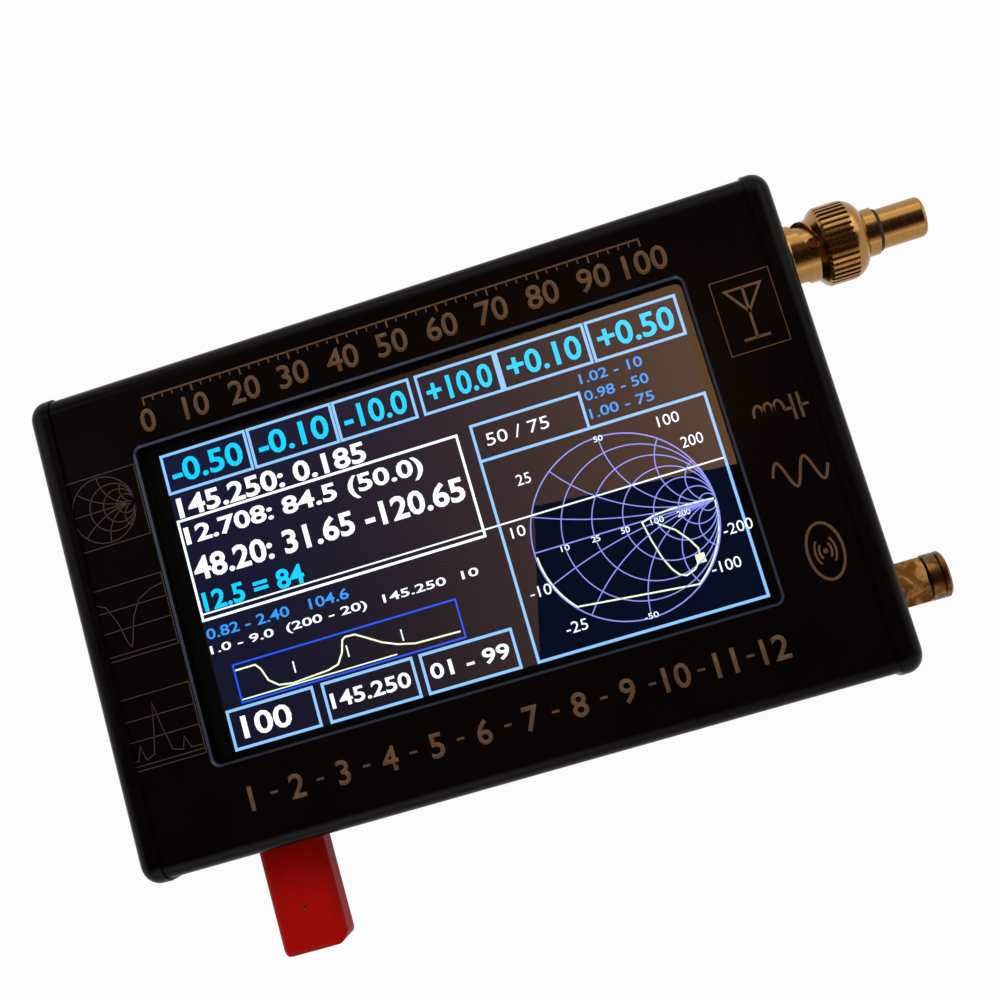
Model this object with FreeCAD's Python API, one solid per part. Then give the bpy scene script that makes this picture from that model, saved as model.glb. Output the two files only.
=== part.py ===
import FreeCAD, Part
import math
import os

from FreeCAD import Vector

# Hand-held antenna analyzer with a touch screen, lying on its back.
# Millimetres. X runs along the case towards the coaxial ports, Y up the screen, Z out of the screen.
# The origin is the centre of the lower shell's flat underside.

# Case: two extruded shells, closed at each end by a plate under a bezel
SHELL_LENGTH = 128.0
SHELL_WIDTH = 87.0
SHELL_HEIGHT = 37.0
WALL = 1.6
SHELL_CORNER_RADIUS = 3.0
TONGUE_HEIGHT = 1.4
TONGUE_CLEARANCE = 0.05
BEZEL_DEPTH = 4.3
BEZEL_PROUD = 0.5
BEZEL_CORNER_RADIUS = 4.0
BEZEL_EDGE_RADIUS = 3.0
BEZEL_RIM = 3.4
BEZEL_OPENING_RADIUS = 1.5
PLATE_THICKNESS = 1.5
PLATE_OVERLAP = 1.2
PLATE_CLEARANCE = 0.1

# Screws that hold each bezel to the screw channels of the shells
SCREW_INSET = 5.4
SCREW_CHANNEL_RADIUS = 3.4
SCREW_RADIUS = 1.4
SCREW_CLEARANCE = 0.05
SCREW_HEAD_RADIUS = 2.3
SCREW_HEAD_HEIGHT = 1.5
SCREW_HEAD_SINK = 0.2
SCREW_LENGTH = 11.0
SCREW_SOCKET_FLATS = 2.0
SCREW_SOCKET_DEPTH = 0.9
PILLAR_RADIUS = 4.2

# Screen stack, from the window down
SCREEN_X = 0.3
SCREEN_Y = 1.0
WINDOW_RADIUS = 1.2
WINDOW_CHAMFER = 0.4
GASKET_THICKNESS = 0.5
GASKET_SETBACK = 0.5
GLASS_THICKNESS = 0.8
MODULE_LENGTH = 105.5
MODULE_WIDTH = 67.2
MODULE_RADIUS = 1.0
MODULE_THICKNESS = 3.2
LAP_LEFT = 1.95
LAP_RIGHT = 3.75
LAP_BELOW = 5.45
LAP_ABOVE = 4.75
FRAME_WALL = 0.6
FRAME_FLOOR = 0.4
PANEL_THICKNESS = 1.2
PAD_THICKNESS = 2.3
PAD_LENGTH = 84.0
PAD_WIDTH = 4.0
PAD_SPACING = 50.0

# Boards
BOARD_THICKNESS = 1.6
MAIN_BOARD_LENGTH = 118.0
MAIN_BOARD_WIDTH = 72.0
RADIO_BOARD_LENGTH = 115.0
RADIO_BOARD_EDGE_GAP = 0.25
BOARD_CORNER_RADIUS = 2.0
RIB_HEIGHT = 1.2
RIB_DEPTH = 1.6
RIB_GAP = 0.15
SEAM_BELOW_RIB = 0.6
SPACER_FLATS = 5.0
SPACER_SPAN_X = 104.0
SPACER_SPAN_Y = 60.0
SPACER_SHIFT_X = -4.0
BOARD_SCREW_RADIUS = 1.15
BOARD_SCREW_HEAD_RADIUS = 2.2
BOARD_SCREW_HEAD_HEIGHT = 1.3
BOARD_SCREW_TIP_GAP = 1.1
SOCKET_BOARD_GAP = 0.3
PROCESSOR_SIDE = 14.0
PROCESSOR_HEIGHT = 1.2
PROCESSOR_X = 6.0
PROCESSOR_Y = 2.0
MEMORY_LENGTH = 12.0
MEMORY_WIDTH = 9.0
MEMORY_HEIGHT = 1.0
MEMORY_X = 24.0
MEMORY_Y = 6.0
STORE_SIDE = 9.0
STORE_HEIGHT = 1.0
STORE_Y = -8.0
POWER_CHIP_LENGTH = 10.0
POWER_CHIP_WIDTH = 8.0
POWER_CHIP_HEIGHT = 1.6
POWER_CHIP_X = -20.0
POWER_CHIP_Y = 8.0
TOUCH_CHIP_LENGTH = 7.0
TOUCH_CHIP_WIDTH = 6.0
TOUCH_CHIP_HEIGHT = 1.4
TOUCH_CHIP_X = -22.0
TOUCH_CHIP_Y = -6.0
HEADER_LENGTH = 40.0
HEADER_WIDTH = 5.0
HEADER_SPACING = 44.0
HEADER_X = -8.0
CAN_LENGTH = 36.0
CAN_WIDTH = 34.0
CAN_HEADROOM = 3.6
CAN_WALL = 0.3
CAN_X = 34.0
BATTERY_LENGTH = 62.0
BATTERY_WIDTH = 42.0
BATTERY_HEIGHT = 8.0
BATTERY_EDGE_RADIUS = 2.5
BATTERY_PAD = 1.0

# Both coaxial ports, on the right end plate
PORT_HEIGHT = 18.5
UPPER_PORT_Y = 31.8
LOWER_PORT_Y = -30.6
PANEL_HOLE_CLEARANCE = 0.1
JACK_REAR_LENGTH = 6.0
JACK_FLANGE_THICKNESS = 1.5
PANEL_WASHER_THICKNESS = 0.6
CONTACT_TAIL_RADIUS = 0.6
CONTACT_TAIL_LENGTH = 5.5
BOARD_TO_JACK_GAP = 0.5

# Upper port: bayonet jack
JACK_THREAD_RADIUS = 4.75
JACK_BARREL_RADIUS = 4.83
JACK_FLANGE_RADIUS = 6.6
JACK_REACH = 13.1
JACK_MOUTH_RADIUS = 4.1
JACK_MOUTH_DEPTH = 7.6
JACK_CORE_RADIUS = 2.6
JACK_NUT_FLATS = 14.0
JACK_NUT_THICKNESS = 2.4
JACK_WASHER_RADIUS = 7.1
LUG_FROM_TIP = 4.0
LUG_RADIUS = 0.95
LUG_HEIGHT = 0.67
SOCKET_CONTACT_RADIUS = 1.1

# Upper port: bayonet plug. The nut rides on the two lugs through its helical slots
NUT_LENGTH = 14.6
NUT_FRONT_TO_LUG = 4.9
NUT_BORE_RADIUS = 5.05
SLEEVE_RADIUS = 5.7
SLEEVE_BEAD = 0.12
SLEEVE_LENGTH = 5.5
KNURL_RADIUS = 7.25
KNURL_START = 7.2
KNURL_WIDTH = 4.4
KNURL_FLUTES = 40
FLUTE_DEPTH = 0.45
NUT_REAR_RADIUS = 4.95
NUT_REAR_WALL = 3.3
BAYONET_RISE = 2.6
SLOT_CLEARANCE = 0.25
PLUG_NECK_RADIUS = 4.2
PLUG_COLLAR_RADIUS = 4.35
PLUG_COLLAR_LENGTH = 2.0
PLUG_COLLAR_GAP = 0.3
PLUG_FLANGE_THICKNESS = 0.9
PLUG_FLANGE_GAP = 0.25
SPRING_WASHER_THICKNESS = 0.7
PLUG_TUBE_CLEARANCE = 0.15
PLUG_TUBE_WALL = 0.75
PLUG_TUBE_INSERTION = 5.3
PLUG_CORE_RADIUS = 2.4
PLUG_PIN_RADIUS = 0.68
SEAL_RING_WIDTH = 0.8
SEAL_RING_RADIUS = 3.9
FERRULE_RADIUS = 3.68
FERRULE_LENGTH = 7.9
FERRULE_BORE_RADIUS = 3.1
FERRULE_SEAT_LENGTH = 1.4
FERRULE_SEAT_WALL = 0.3
FERRULE_CHAMFER = 0.5

# Lower port: threaded jack with a screw-on load
SMALL_THREAD_RADIUS = 3.1
SMALL_FLANGE_RADIUS = 4.6
SMALL_REACH = 8.1
SMALL_MOUTH_RADIUS = 2.35
SMALL_MOUTH_DEPTH = 3.0
SMALL_CORE_RADIUS = 2.05
SMALL_CONTACT_RADIUS = 0.75
SMALL_NUT_FLATS = 8.0
SMALL_NUT_THICKNESS = 2.0
SMALL_WASHER_RADIUS = 4.4
LOAD_NUT_FLATS = 7.9
LOAD_NUT_OVER_JACK = 4.7
LOAD_NUT_PAST_JACK = 2.0
LOAD_NUT_BORE_CLEARANCE = 0.2
LOAD_NUT_WALL = 1.1
LOAD_FLANGE_THICKNESS = 0.7
LOAD_NECK_RADIUS = 2.3
LOAD_NECK_CLEARANCE = 0.3
LOAD_BODY_RADIUS = 4.15
LOAD_BODY_LENGTH = 3.55
LOAD_BODY_CHAMFER = 0.4
LOAD_TUBE_CLEARANCE = 0.15
LOAD_TUBE_WALL = 0.55
LOAD_PIN_RADIUS = 0.45
FACE_GAP = 0.1

# Plug-in socket in the long side, with the red plug in it
USB_X = -44.75
SOCKET_WIDTH = 14.5
SOCKET_HEIGHT = 7.0
SOCKET_DEPTH = 14.0
SOCKET_CAVITY_DEPTH = 13.0
SOCKET_SETBACK = 0.1
CUTOUT_CLEARANCE = 0.15
PLUG_SHELL_WIDTH = 12.0
PLUG_SHELL_HEIGHT = 4.5
PLUG_SHELL_WALL = 0.35
PLUG_SHELL_LENGTH = 11.8
PLUG_SHELL_CLEARANCE = 0.2
TONGUE_THICKNESS = 1.5
TONGUE_OFFSET = 0.25
TONGUE_SIDE_GAP = 0.3
GRIP_WIDTH = 12.1
GRIP_THICKNESS = 8.0
GRIP_LENGTH = 19.0
GRIP_TOP_WIDTH = 7.8
GRIP_SIDE_HEIGHT = 2.2
GRIP_END_RADIUS = 2.2
GRIP_GAP = 0.5

# Memory card in the left end plate
CARD_LENGTH = 15.0
CARD_WIDTH = 11.0
CARD_THICKNESS = 0.7
CARD_Y = 12.0
CARD_PROUD = 0.8
CARD_SLOT_CLEARANCE = 0.15
CARD_SOCKET_LENGTH = 13.0
CARD_SOCKET_WALL = 0.5
CARD_NOTCH = 0.8

# Power switch in the left end plate
SWITCH_Y = -22.0
SWITCH_BODY_WIDTH = 13.0
SWITCH_BODY_HEIGHT = 6.6
SWITCH_BODY_DEPTH = 5.0
KNOB_WIDTH = 4.0
KNOB_HEIGHT = 4.0
KNOB_PROUD = 2.0
KNOB_TRAVEL = 4.0
KNOB_CLEARANCE = 0.15
KNOB_FOOT = 3.2
KNOB_GROOVE = 0.5

X_AXIS = Vector(1, 0, 0)
Y_AXIS = Vector(0, 1, 0)
Z_AXIS = Vector(0, 0, 1)
TOUCH = 1e-6

# Case outline, worked out from the sizes above
SHELL_END = SHELL_LENGTH / 2
CASE_END = SHELL_END + BEZEL_DEPTH
PLATE_FACE = SHELL_END + PLATE_THICKNESS
SIDE = SHELL_WIDTH / 2
INNER_SIDE = SIDE - WALL
FLOOR = WALL
CEILING = SHELL_HEIGHT - WALL
OPENING_SIDE = SIDE + BEZEL_PROUD - BEZEL_RIM
OPENING_LOW = BEZEL_RIM - BEZEL_PROUD
OPENING_HIGH = SHELL_HEIGHT + BEZEL_PROUD - BEZEL_RIM
SCREW_Y = SIDE + BEZEL_PROUD - SCREW_INSET
SCREW_Z = (SCREW_INSET - BEZEL_PROUD, SHELL_HEIGHT + BEZEL_PROUD - SCREW_INSET)
SCREW_CENTRES = [(y, z) for y in (-SCREW_Y, SCREW_Y) for z in SCREW_Z]

# Display module and the window over it
MODULE_X = (SCREEN_X - MODULE_LENGTH / 2, SCREEN_X + MODULE_LENGTH / 2)
MODULE_Y = (SCREEN_Y - MODULE_WIDTH / 2, SCREEN_Y + MODULE_WIDTH / 2)
WINDOW_X = (MODULE_X[0] + LAP_LEFT, MODULE_X[1] - LAP_RIGHT)
WINDOW_Y = (MODULE_Y[0] + LAP_BELOW, MODULE_Y[1] - LAP_ABOVE)

# Heights of the screen stack and the boards
GLASS_TOP = CEILING - GASKET_THICKNESS
MODULE_TOP = GLASS_TOP - GLASS_THICKNESS
MODULE_BOTTOM = MODULE_TOP - MODULE_THICKNESS
MAIN_TOP = MODULE_BOTTOM - PAD_THICKNESS
MAIN_BOTTOM = MAIN_TOP - BOARD_THICKNESS
RADIO_TOP = PORT_HEIGHT - CONTACT_TAIL_RADIUS
RADIO_BOTTOM = RADIO_TOP - BOARD_THICKNESS
BOARD_GAP = MAIN_BOTTOM - RADIO_TOP
BOARD_SCREW_REACH = (BOARD_GAP - BOARD_SCREW_TIP_GAP) / 2
CAN_HEIGHT = BOARD_GAP - CAN_HEADROOM
SEAM = RADIO_BOTTOM - RIB_HEIGHT - SEAM_BELOW_RIB

# Places along X of the ports
JACK_REAR = SHELL_END - JACK_REAR_LENGTH
JACK_TIP = PLATE_FACE + JACK_REACH
LUG_X = JACK_TIP - LUG_FROM_TIP
NUT_FRONT = LUG_X - NUT_FRONT_TO_LUG
NUT_REAR = NUT_FRONT + NUT_LENGTH
NUT_WALL_X = NUT_REAR - NUT_REAR_WALL
COLLAR_X = NUT_REAR + PLUG_COLLAR_GAP
RING_X = COLLAR_X + PLUG_COLLAR_LENGTH
FERRULE_X = RING_X + SEAL_RING_WIDTH
FERRULE_END = FERRULE_X + FERRULE_LENGTH
FERRULE_SEAT_RADIUS = FERRULE_BORE_RADIUS + FERRULE_SEAT_WALL
PLUG_TUBE_RADIUS = JACK_MOUTH_RADIUS - PLUG_TUBE_CLEARANCE
SMALL_TIP = PLATE_FACE + SMALL_REACH
RADIO_RIGHT = JACK_REAR - BOARD_TO_JACK_GAP
RADIO_LEFT = RADIO_RIGHT - RADIO_BOARD_LENGTH
MAIN_LEFT = -SHELL_END + FACE_GAP * 8
USB_Z = MAIN_BOTTOM - SOCKET_HEIGHT / 2
CARD_Z = MAIN_TOP + CARD_SOCKET_WALL + CARD_SLOT_CLEARANCE + CARD_THICKNESS / 2
SPACER_CENTRES = [
    (SCREEN_X + SPACER_SHIFT_X + sx * SPACER_SPAN_X / 2, SCREEN_Y + sy * SPACER_SPAN_Y / 2)
    for sx in (-1, 1) for sy in (-1, 1)
]


def span(centre, size):
    """The two ends of a stretch of the given size about its centre."""
    return centre - size / 2, centre + size / 2


def grown(stretch, by):
    """The stretch made longer by that much at each end."""
    return stretch[0] - by, stretch[1] + by


def block(x, y, z, axis=None, radius=0.0):
    """Box over the spans x, y and z; its edges along axis are rounded if an axis is given."""
    box = Part.makeBox(x[1] - x[0], y[1] - y[0], z[1] - z[0], Vector(x[0], y[0], z[0]))
    if axis is None:
        return box
    along = [edge for edge in box.Edges if abs(edge.tangentAt(edge.FirstParameter).dot(axis)) > 0.99]
    return box.makeFillet(radius, along)


def rod(radius, x, y, z):
    """Round bar along X over the span x, about the line through (y, z)."""
    return Part.makeCylinder(radius, x[1] - x[0], Vector(x[0], y, z), X_AXIS)


def post(radius, x, y, z):
    """Round bar along Z over the span z."""
    return Part.makeCylinder(radius, z[1] - z[0], Vector(x, y, z[0]), Z_AXIS)


def turned(profile, y, z):
    """Solid turned about a line along X through (y, z).

    The profile lists (x, radius) corners; (x, radius, xm, rm) reaches a corner on an arc through (xm, rm).
    """
    corners = [Vector(item[0], item[1], 0) for item in profile]
    edges = []
    for index, item in enumerate(profile):
        start = corners[index - 1]
        if len(item) == 4:
            edges.append(Part.Arc(start, Vector(item[2], item[3], 0), corners[index]).toShape())
        else:
            edges.append(Part.LineSegment(start, corners[index]).toShape())
    face = Part.Face(Part.Wire(edges))
    solid = face.revolve(Vector(0, 0, 0), X_AXIS, 360)
    if solid.Volume < 0:
        solid.reverse()
    solid.translate(Vector(0, y, z))
    return solid


def hexagon(flats, x, y, z):
    """Hexagonal bar along X over the span x, with one corner pointing up."""
    reach = flats / math.sqrt(3)
    points = []
    for step in range(7):
        angle = math.radians(60 * step)
        points.append(Vector(x[0], y + reach * math.sin(angle), z + reach * math.cos(angle)))
    return Part.Face(Part.makePolygon(points)).extrude(X_AXIS * (x[1] - x[0]))


def chamfered_hexagon(flats, x, y, z, both_ends=True):
    """Hexagonal bar whose corners are turned down to the flats at its ends."""
    reach = flats / math.sqrt(3)
    bevel = (reach - flats / 2) * math.tan(math.radians(30))
    start = flats / 2 if both_ends else reach
    envelope = turned([(x[0], 0), (x[0], start), (x[0] + bevel, reach), (x[1] - bevel, reach),
                       (x[1], flats / 2), (x[1], 0)], y, z)
    return hexagon(flats, x, y, z).common(envelope)


def mirrored(shape):
    """The same piece for the left end of the case."""
    return shape.mirror(Vector(0, 0, 0), X_AXIS)


def shell_tube():
    """Outer wall of both shells with its four screw channels, before it is parted at the seam."""
    ends = (-SHELL_END, SHELL_END)
    tube = block(ends, (-SIDE, SIDE), (0, SHELL_HEIGHT), X_AXIS, SHELL_CORNER_RADIUS)
    inner_radius = max(SHELL_CORNER_RADIUS - WALL, WALL / 4)
    tube = tube.cut(block(ends, (-INNER_SIDE, INNER_SIDE), (FLOOR, CEILING), X_AXIS, inner_radius))
    outline = block(ends, (-SIDE, SIDE), (0, SHELL_HEIGHT), X_AXIS, SHELL_CORNER_RADIUS)
    for y, z in SCREW_CENTRES:
        tube = tube.fuse(rod(SCREW_CHANNEL_RADIUS, ends, y, z).common(outline))
    for y, z in SCREW_CENTRES:
        tube = tube.cut(rod(SCREW_RADIUS + SCREW_CLEARANCE, ends, y, z))
    return tube.removeSplitter()


def window_cutter():
    """Opening for the screen through the face of the upper shell."""
    return block(WINDOW_X, WINDOW_Y, (CEILING - WALL, SHELL_HEIGHT + WALL), Z_AXIS, WINDOW_RADIUS)


def chamfer_window(shell):
    """Break the milled edge of the window where it meets the face."""
    rim = []
    for edge in shell.Edges:
        box = edge.BoundBox
        on_face = abs(box.ZMin - SHELL_HEIGHT) < TOUCH and abs(box.ZMax - SHELL_HEIGHT) < TOUCH
        in_x = box.XMin > WINDOW_X[0] - TOUCH and box.XMax < WINDOW_X[1] + TOUCH
        in_y = box.YMin > WINDOW_Y[0] - TOUCH and box.YMax < WINDOW_Y[1] + TOUCH
        if on_face and in_x and in_y:
            rim.append(edge)
    return shell.makeChamfer(WINDOW_CHAMFER, rim)


def plug_cutout():
    """Hole for the plug-in socket through the long side of the upper shell."""
    x = span(USB_X, SOCKET_WIDTH + 2 * CUTOUT_CLEARANCE)
    z = span(USB_Z, SOCKET_HEIGHT + 2 * CUTOUT_CLEARANCE)
    return block(x, (-SIDE - WALL, -INNER_SIDE + WALL), z, Y_AXIS, CUTOUT_CLEARANCE * 3)


def side_pair(y, z):
    """The same rail on both long sides: y is its span from the middle outwards."""
    ends = (-SHELL_END, SHELL_END)
    return block(ends, y, z).fuse(block(ends, (-y[1], -y[0]), z))


def upper_shell():
    """Shell with the screen window; its rails hold the radio board, its tongues enter the lower shell."""
    tube = shell_tube()
    ends = (-SHELL_END, SHELL_END)
    shell = tube.common(block(ends, (-SIDE, SIDE), (SEAM, SHELL_HEIGHT)))
    rail = (INNER_SIDE - RIB_DEPTH, INNER_SIDE + WALL / 2)
    shell = shell.fuse(side_pair(rail, (RADIO_BOTTOM - RIB_HEIGHT, RADIO_BOTTOM)))
    shell = shell.fuse(side_pair(rail, (RADIO_TOP + RIB_GAP, RADIO_TOP + RIB_GAP + RIB_HEIGHT)))
    tongue = (INNER_SIDE, INNER_SIDE + WALL / 2)
    shell = shell.fuse(side_pair(tongue, (SEAM - TONGUE_HEIGHT, SEAM + TONGUE_HEIGHT)))
    shell = shell.cut(window_cutter()).cut(plug_cutout()).removeSplitter()
    return chamfer_window(shell)


def lower_shell():
    """Plain shell with the flat underside, rebated inside its rims for the tongues."""
    ends = (-SHELL_END, SHELL_END)
    shell = shell_tube().common(block(ends, (-SIDE, SIDE), (0, SEAM)))
    rebate = (INNER_SIDE - TONGUE_CLEARANCE, INNER_SIDE + WALL / 2 + TONGUE_CLEARANCE)
    shell = shell.cut(side_pair(rebate, (SEAM - TONGUE_HEIGHT - TONGUE_CLEARANCE, SEAM)))
    return shell.removeSplitter()


def plate_outline(x, gap=0.0):
    """Outline of an end plate over the span x, grown by gap all round."""
    grow = PLATE_OVERLAP + gap
    return block(x, (-OPENING_SIDE - grow, OPENING_SIDE + grow),
                 (OPENING_LOW - grow, OPENING_HIGH + grow), X_AXIS, BEZEL_OPENING_RADIUS + grow)


def bezel():
    """Frame over the right end: rounded outside, open over the end plate, with a pillar at each screw."""
    reach = (SHELL_END, CASE_END)
    side = SIDE + BEZEL_PROUD
    ring = block(reach, (-side, side), (-BEZEL_PROUD, SHELL_HEIGHT + BEZEL_PROUD),
                 X_AXIS, BEZEL_CORNER_RADIUS)
    outer_rim = [edge for edge in ring.Edges if edge.BoundBox.XMin > CASE_END - TOUCH]
    ring = ring.makeFillet(BEZEL_EDGE_RADIUS, outer_rim)
    opening = block(reach, (-OPENING_SIDE, OPENING_SIDE), (OPENING_LOW, OPENING_HIGH),
                    X_AXIS, BEZEL_OPENING_RADIUS)
    for y, z in SCREW_CENTRES:
        opening = opening.cut(rod(PILLAR_RADIUS, reach, y, z))
    ring = ring.cut(opening)
    ring = ring.cut(plate_outline((SHELL_END, PLATE_FACE), PLATE_CLEARANCE))
    head_seat = CASE_END - SCREW_HEAD_SINK - SCREW_HEAD_HEIGHT
    for y, z in SCREW_CENTRES:
        ring = ring.cut(rod(SCREW_RADIUS + 2 * SCREW_CLEARANCE, reach, y, z))
        ring = ring.cut(rod(SCREW_HEAD_RADIUS + 2 * SCREW_CLEARANCE, (head_seat, CASE_END), y, z))
    return ring.removeSplitter()


def bezel_screws():
    """Four socket screws that clamp the right bezel and plate to the shells."""
    top = CASE_END - SCREW_HEAD_SINK
    seat = top - SCREW_HEAD_HEIGHT
    screws = []
    for y, z in SCREW_CENTRES:
        edge = SCREW_HEAD_HEIGHT / 5
        screw = turned([(seat - SCREW_LENGTH, 0), (seat - SCREW_LENGTH, SCREW_RADIUS),
                        (seat, SCREW_RADIUS), (seat, SCREW_HEAD_RADIUS), (top - edge, SCREW_HEAD_RADIUS),
                        (top, SCREW_HEAD_RADIUS - edge), (top, 0)], y, z)
        screws.append(screw.cut(hexagon(SCREW_SOCKET_FLATS, (top - SCREW_SOCKET_DEPTH, top), y, z)))
    return Part.makeCompound(screws)


def blank_plate():
    """End plate with its four screw holes, for the right end."""
    plate = plate_outline((SHELL_END, PLATE_FACE))
    for y, z in SCREW_CENTRES:
        plate = plate.cut(rod(SCREW_RADIUS + 2 * SCREW_CLEARANCE, (SHELL_END, PLATE_FACE), y, z))
    return plate


def port_plate():
    """Right end plate, bored for the two jacks."""
    plate = blank_plate()
    for radius, y in ((JACK_THREAD_RADIUS, UPPER_PORT_Y), (SMALL_THREAD_RADIUS, LOWER_PORT_Y)):
        hole = rod(radius + PANEL_HOLE_CLEARANCE, (SHELL_END, PLATE_FACE), y, PORT_HEIGHT)
        plate = plate.cut(hole)
    return plate


def switch_plate():
    """Left end plate, slotted for the switch knob and the memory card."""
    plate = mirrored(blank_plate())
    x = (-PLATE_FACE, -SHELL_END)
    knob_y = (SWITCH_Y - KNOB_WIDTH / 2 - KNOB_CLEARANCE,
              SWITCH_Y + KNOB_WIDTH / 2 + KNOB_TRAVEL + KNOB_CLEARANCE)
    knob_z = span(PORT_HEIGHT, KNOB_HEIGHT + 2 * KNOB_CLEARANCE)
    card_y = span(CARD_Y, CARD_WIDTH + 2 * CARD_SLOT_CLEARANCE)
    card_z = span(CARD_Z, CARD_THICKNESS + 2 * CARD_SLOT_CLEARANCE)
    return plate.cut(block(x, knob_y, knob_z)).cut(block(x, card_y, card_z))


def window_gasket():
    """Thin foam frame between the face and the touch glass."""
    z = (GLASS_TOP, CEILING)
    outer = block(MODULE_X, MODULE_Y, z, Z_AXIS, MODULE_RADIUS)
    return outer.cut(block(grown(WINDOW_X, GASKET_SETBACK), grown(WINDOW_Y, GASKET_SETBACK), z,
                           Z_AXIS, WINDOW_RADIUS))


def touch_glass():
    """Cover glass with the touch layer, as large as the display module."""
    return block(MODULE_X, MODULE_Y, (MODULE_TOP, GLASS_TOP), Z_AXIS, MODULE_RADIUS)


def module_slab(inset, z):
    """Slab with the display module's outline, drawn in by inset."""
    return block(grown(MODULE_X, -inset), grown(MODULE_Y, -inset), z)


def display_frame():
    """Folded metal tray that holds the backlight and the panel."""
    tray = block(MODULE_X, MODULE_Y, (MODULE_BOTTOM, MODULE_TOP), Z_AXIS, MODULE_RADIUS)
    return tray.cut(module_slab(FRAME_WALL, (MODULE_BOTTOM + FRAME_FLOOR, MODULE_TOP)))


def display_panel():
    """Liquid crystal panel, flush with the top of its tray."""
    return module_slab(FRAME_WALL, (MODULE_TOP - PANEL_THICKNESS, MODULE_TOP))


def backlight():
    """Light guide under the panel."""
    return module_slab(FRAME_WALL, (MODULE_BOTTOM + FRAME_FLOOR, MODULE_TOP - PANEL_THICKNESS))


def foam_pads():
    """Two foam strips that carry the display on the main board."""
    strips = []
    for side in (-1, 1):
        y = span(SCREEN_Y + side * PAD_SPACING / 2, PAD_WIDTH)
        strips.append(block(span(SCREEN_X, PAD_LENGTH), y, (MAIN_TOP, MODULE_BOTTOM)))
    return Part.makeCompound(strips)


def board(x, y, z):
    """Circuit board with rounded corners and a hole at each spacer."""
    sheet = block(x, y, z, Z_AXIS, BOARD_CORNER_RADIUS)
    for px, py in SPACER_CENTRES:
        sheet = sheet.cut(post(BOARD_SCREW_RADIUS + SCREW_CLEARANCE, px, py, z))
    return sheet


def main_board():
    """Processor board behind the display."""
    return board((MAIN_LEFT, MAIN_LEFT + MAIN_BOARD_LENGTH), span(SCREEN_Y, MAIN_BOARD_WIDTH),
                 (MAIN_BOTTOM, MAIN_TOP))


def radio_board():
    """Measuring board in the rails of the upper shell, cut away where the plug-in socket comes near it."""
    side = INNER_SIDE - RADIO_BOARD_EDGE_GAP
    sheet = board((RADIO_LEFT, RADIO_RIGHT), (-side, side), (RADIO_BOTTOM, RADIO_TOP))
    reach = (-SIDE, -SIDE + SOCKET_SETBACK + SOCKET_DEPTH + SOCKET_BOARD_GAP)
    low = MAIN_BOTTOM - SOCKET_HEIGHT - SOCKET_BOARD_GAP
    return sheet.cut(block(grown(span(USB_X, SOCKET_WIDTH), SOCKET_BOARD_GAP), reach, (low, MAIN_BOTTOM)))


def chip(x, y, length, width, height):
    """Chip on the underside of the main board, at x and y from the middle of the screen."""
    return block(span(SCREEN_X + x, length), span(SCREEN_Y + y, width), (MAIN_BOTTOM - height, MAIN_BOTTOM))


def main_chips():
    """Processor and four smaller chips under the main board."""
    return Part.makeCompound([
        chip(PROCESSOR_X, PROCESSOR_Y, PROCESSOR_SIDE, PROCESSOR_SIDE, PROCESSOR_HEIGHT),
        chip(MEMORY_X, MEMORY_Y, MEMORY_LENGTH, MEMORY_WIDTH, MEMORY_HEIGHT),
        chip(MEMORY_X, STORE_Y, STORE_SIDE, STORE_SIDE, STORE_HEIGHT),
        chip(POWER_CHIP_X, POWER_CHIP_Y, POWER_CHIP_LENGTH, POWER_CHIP_WIDTH, POWER_CHIP_HEIGHT),
        chip(TOUCH_CHIP_X, TOUCH_CHIP_Y, TOUCH_CHIP_LENGTH, TOUCH_CHIP_WIDTH, TOUCH_CHIP_HEIGHT),
    ])


def header_strips():
    """Two board-to-board connectors between the radio board and the main board."""
    strips = []
    for side in (-1, 1):
        y = span(SCREEN_Y + side * HEADER_SPACING / 2, HEADER_WIDTH)
        strips.append(block(span(HEADER_X, HEADER_LENGTH), y, (RADIO_TOP, MAIN_BOTTOM)))
    return Part.makeCompound(strips)


def shield_can():
    """Folded can over the measuring bridge, open towards the radio board."""
    x = span(CAN_X, CAN_LENGTH)
    y = span(0, CAN_WIDTH)
    can = block(x, y, (RADIO_TOP, RADIO_TOP + CAN_HEIGHT), Z_AXIS, CAN_WALL * 4)
    inner_x = span(CAN_X, CAN_LENGTH - 2 * CAN_WALL)
    inner_y = span(0, CAN_WIDTH - 2 * CAN_WALL)
    return can.cut(block(inner_x, inner_y, (RADIO_TOP, RADIO_TOP + CAN_HEIGHT - CAN_WALL)))


def board_spacers():
    """Four threaded hexagonal spacers between the boards."""
    spacers = []
    for x, y in SPACER_CENTRES:
        bar = hexagon(SPACER_FLATS, (0, BOARD_GAP), 0, 0)
        bar.rotate(Vector(0, 0, 0), Y_AXIS, -90)
        bar.translate(Vector(x, y, RADIO_TOP))
        spacers.append(bar.cut(post(BOARD_SCREW_RADIUS + SCREW_CLEARANCE, x, y, (RADIO_TOP, MAIN_BOTTOM))))
    return Part.makeCompound(spacers)


def board_screws(face, way):
    """Four screws through a board into the spacers; face is the board's outer side, way points inwards."""
    screws = []
    for x, y in SPACER_CENTRES:
        head = sorted((face, face - way * BOARD_SCREW_HEAD_HEIGHT))
        shank = sorted((face, face + way * (BOARD_THICKNESS + BOARD_SCREW_REACH)))
        screw = post(BOARD_SCREW_HEAD_RADIUS, x, y, head).fuse(post(BOARD_SCREW_RADIUS, x, y, shank))
        screws.append(screw)
    return Part.makeCompound(screws)


def battery_foam():
    """Foam pad that beds the battery on the floor of the lower shell."""
    return block(span(0, BATTERY_LENGTH), span(0, BATTERY_WIDTH), (FLOOR, FLOOR + BATTERY_PAD))


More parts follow.
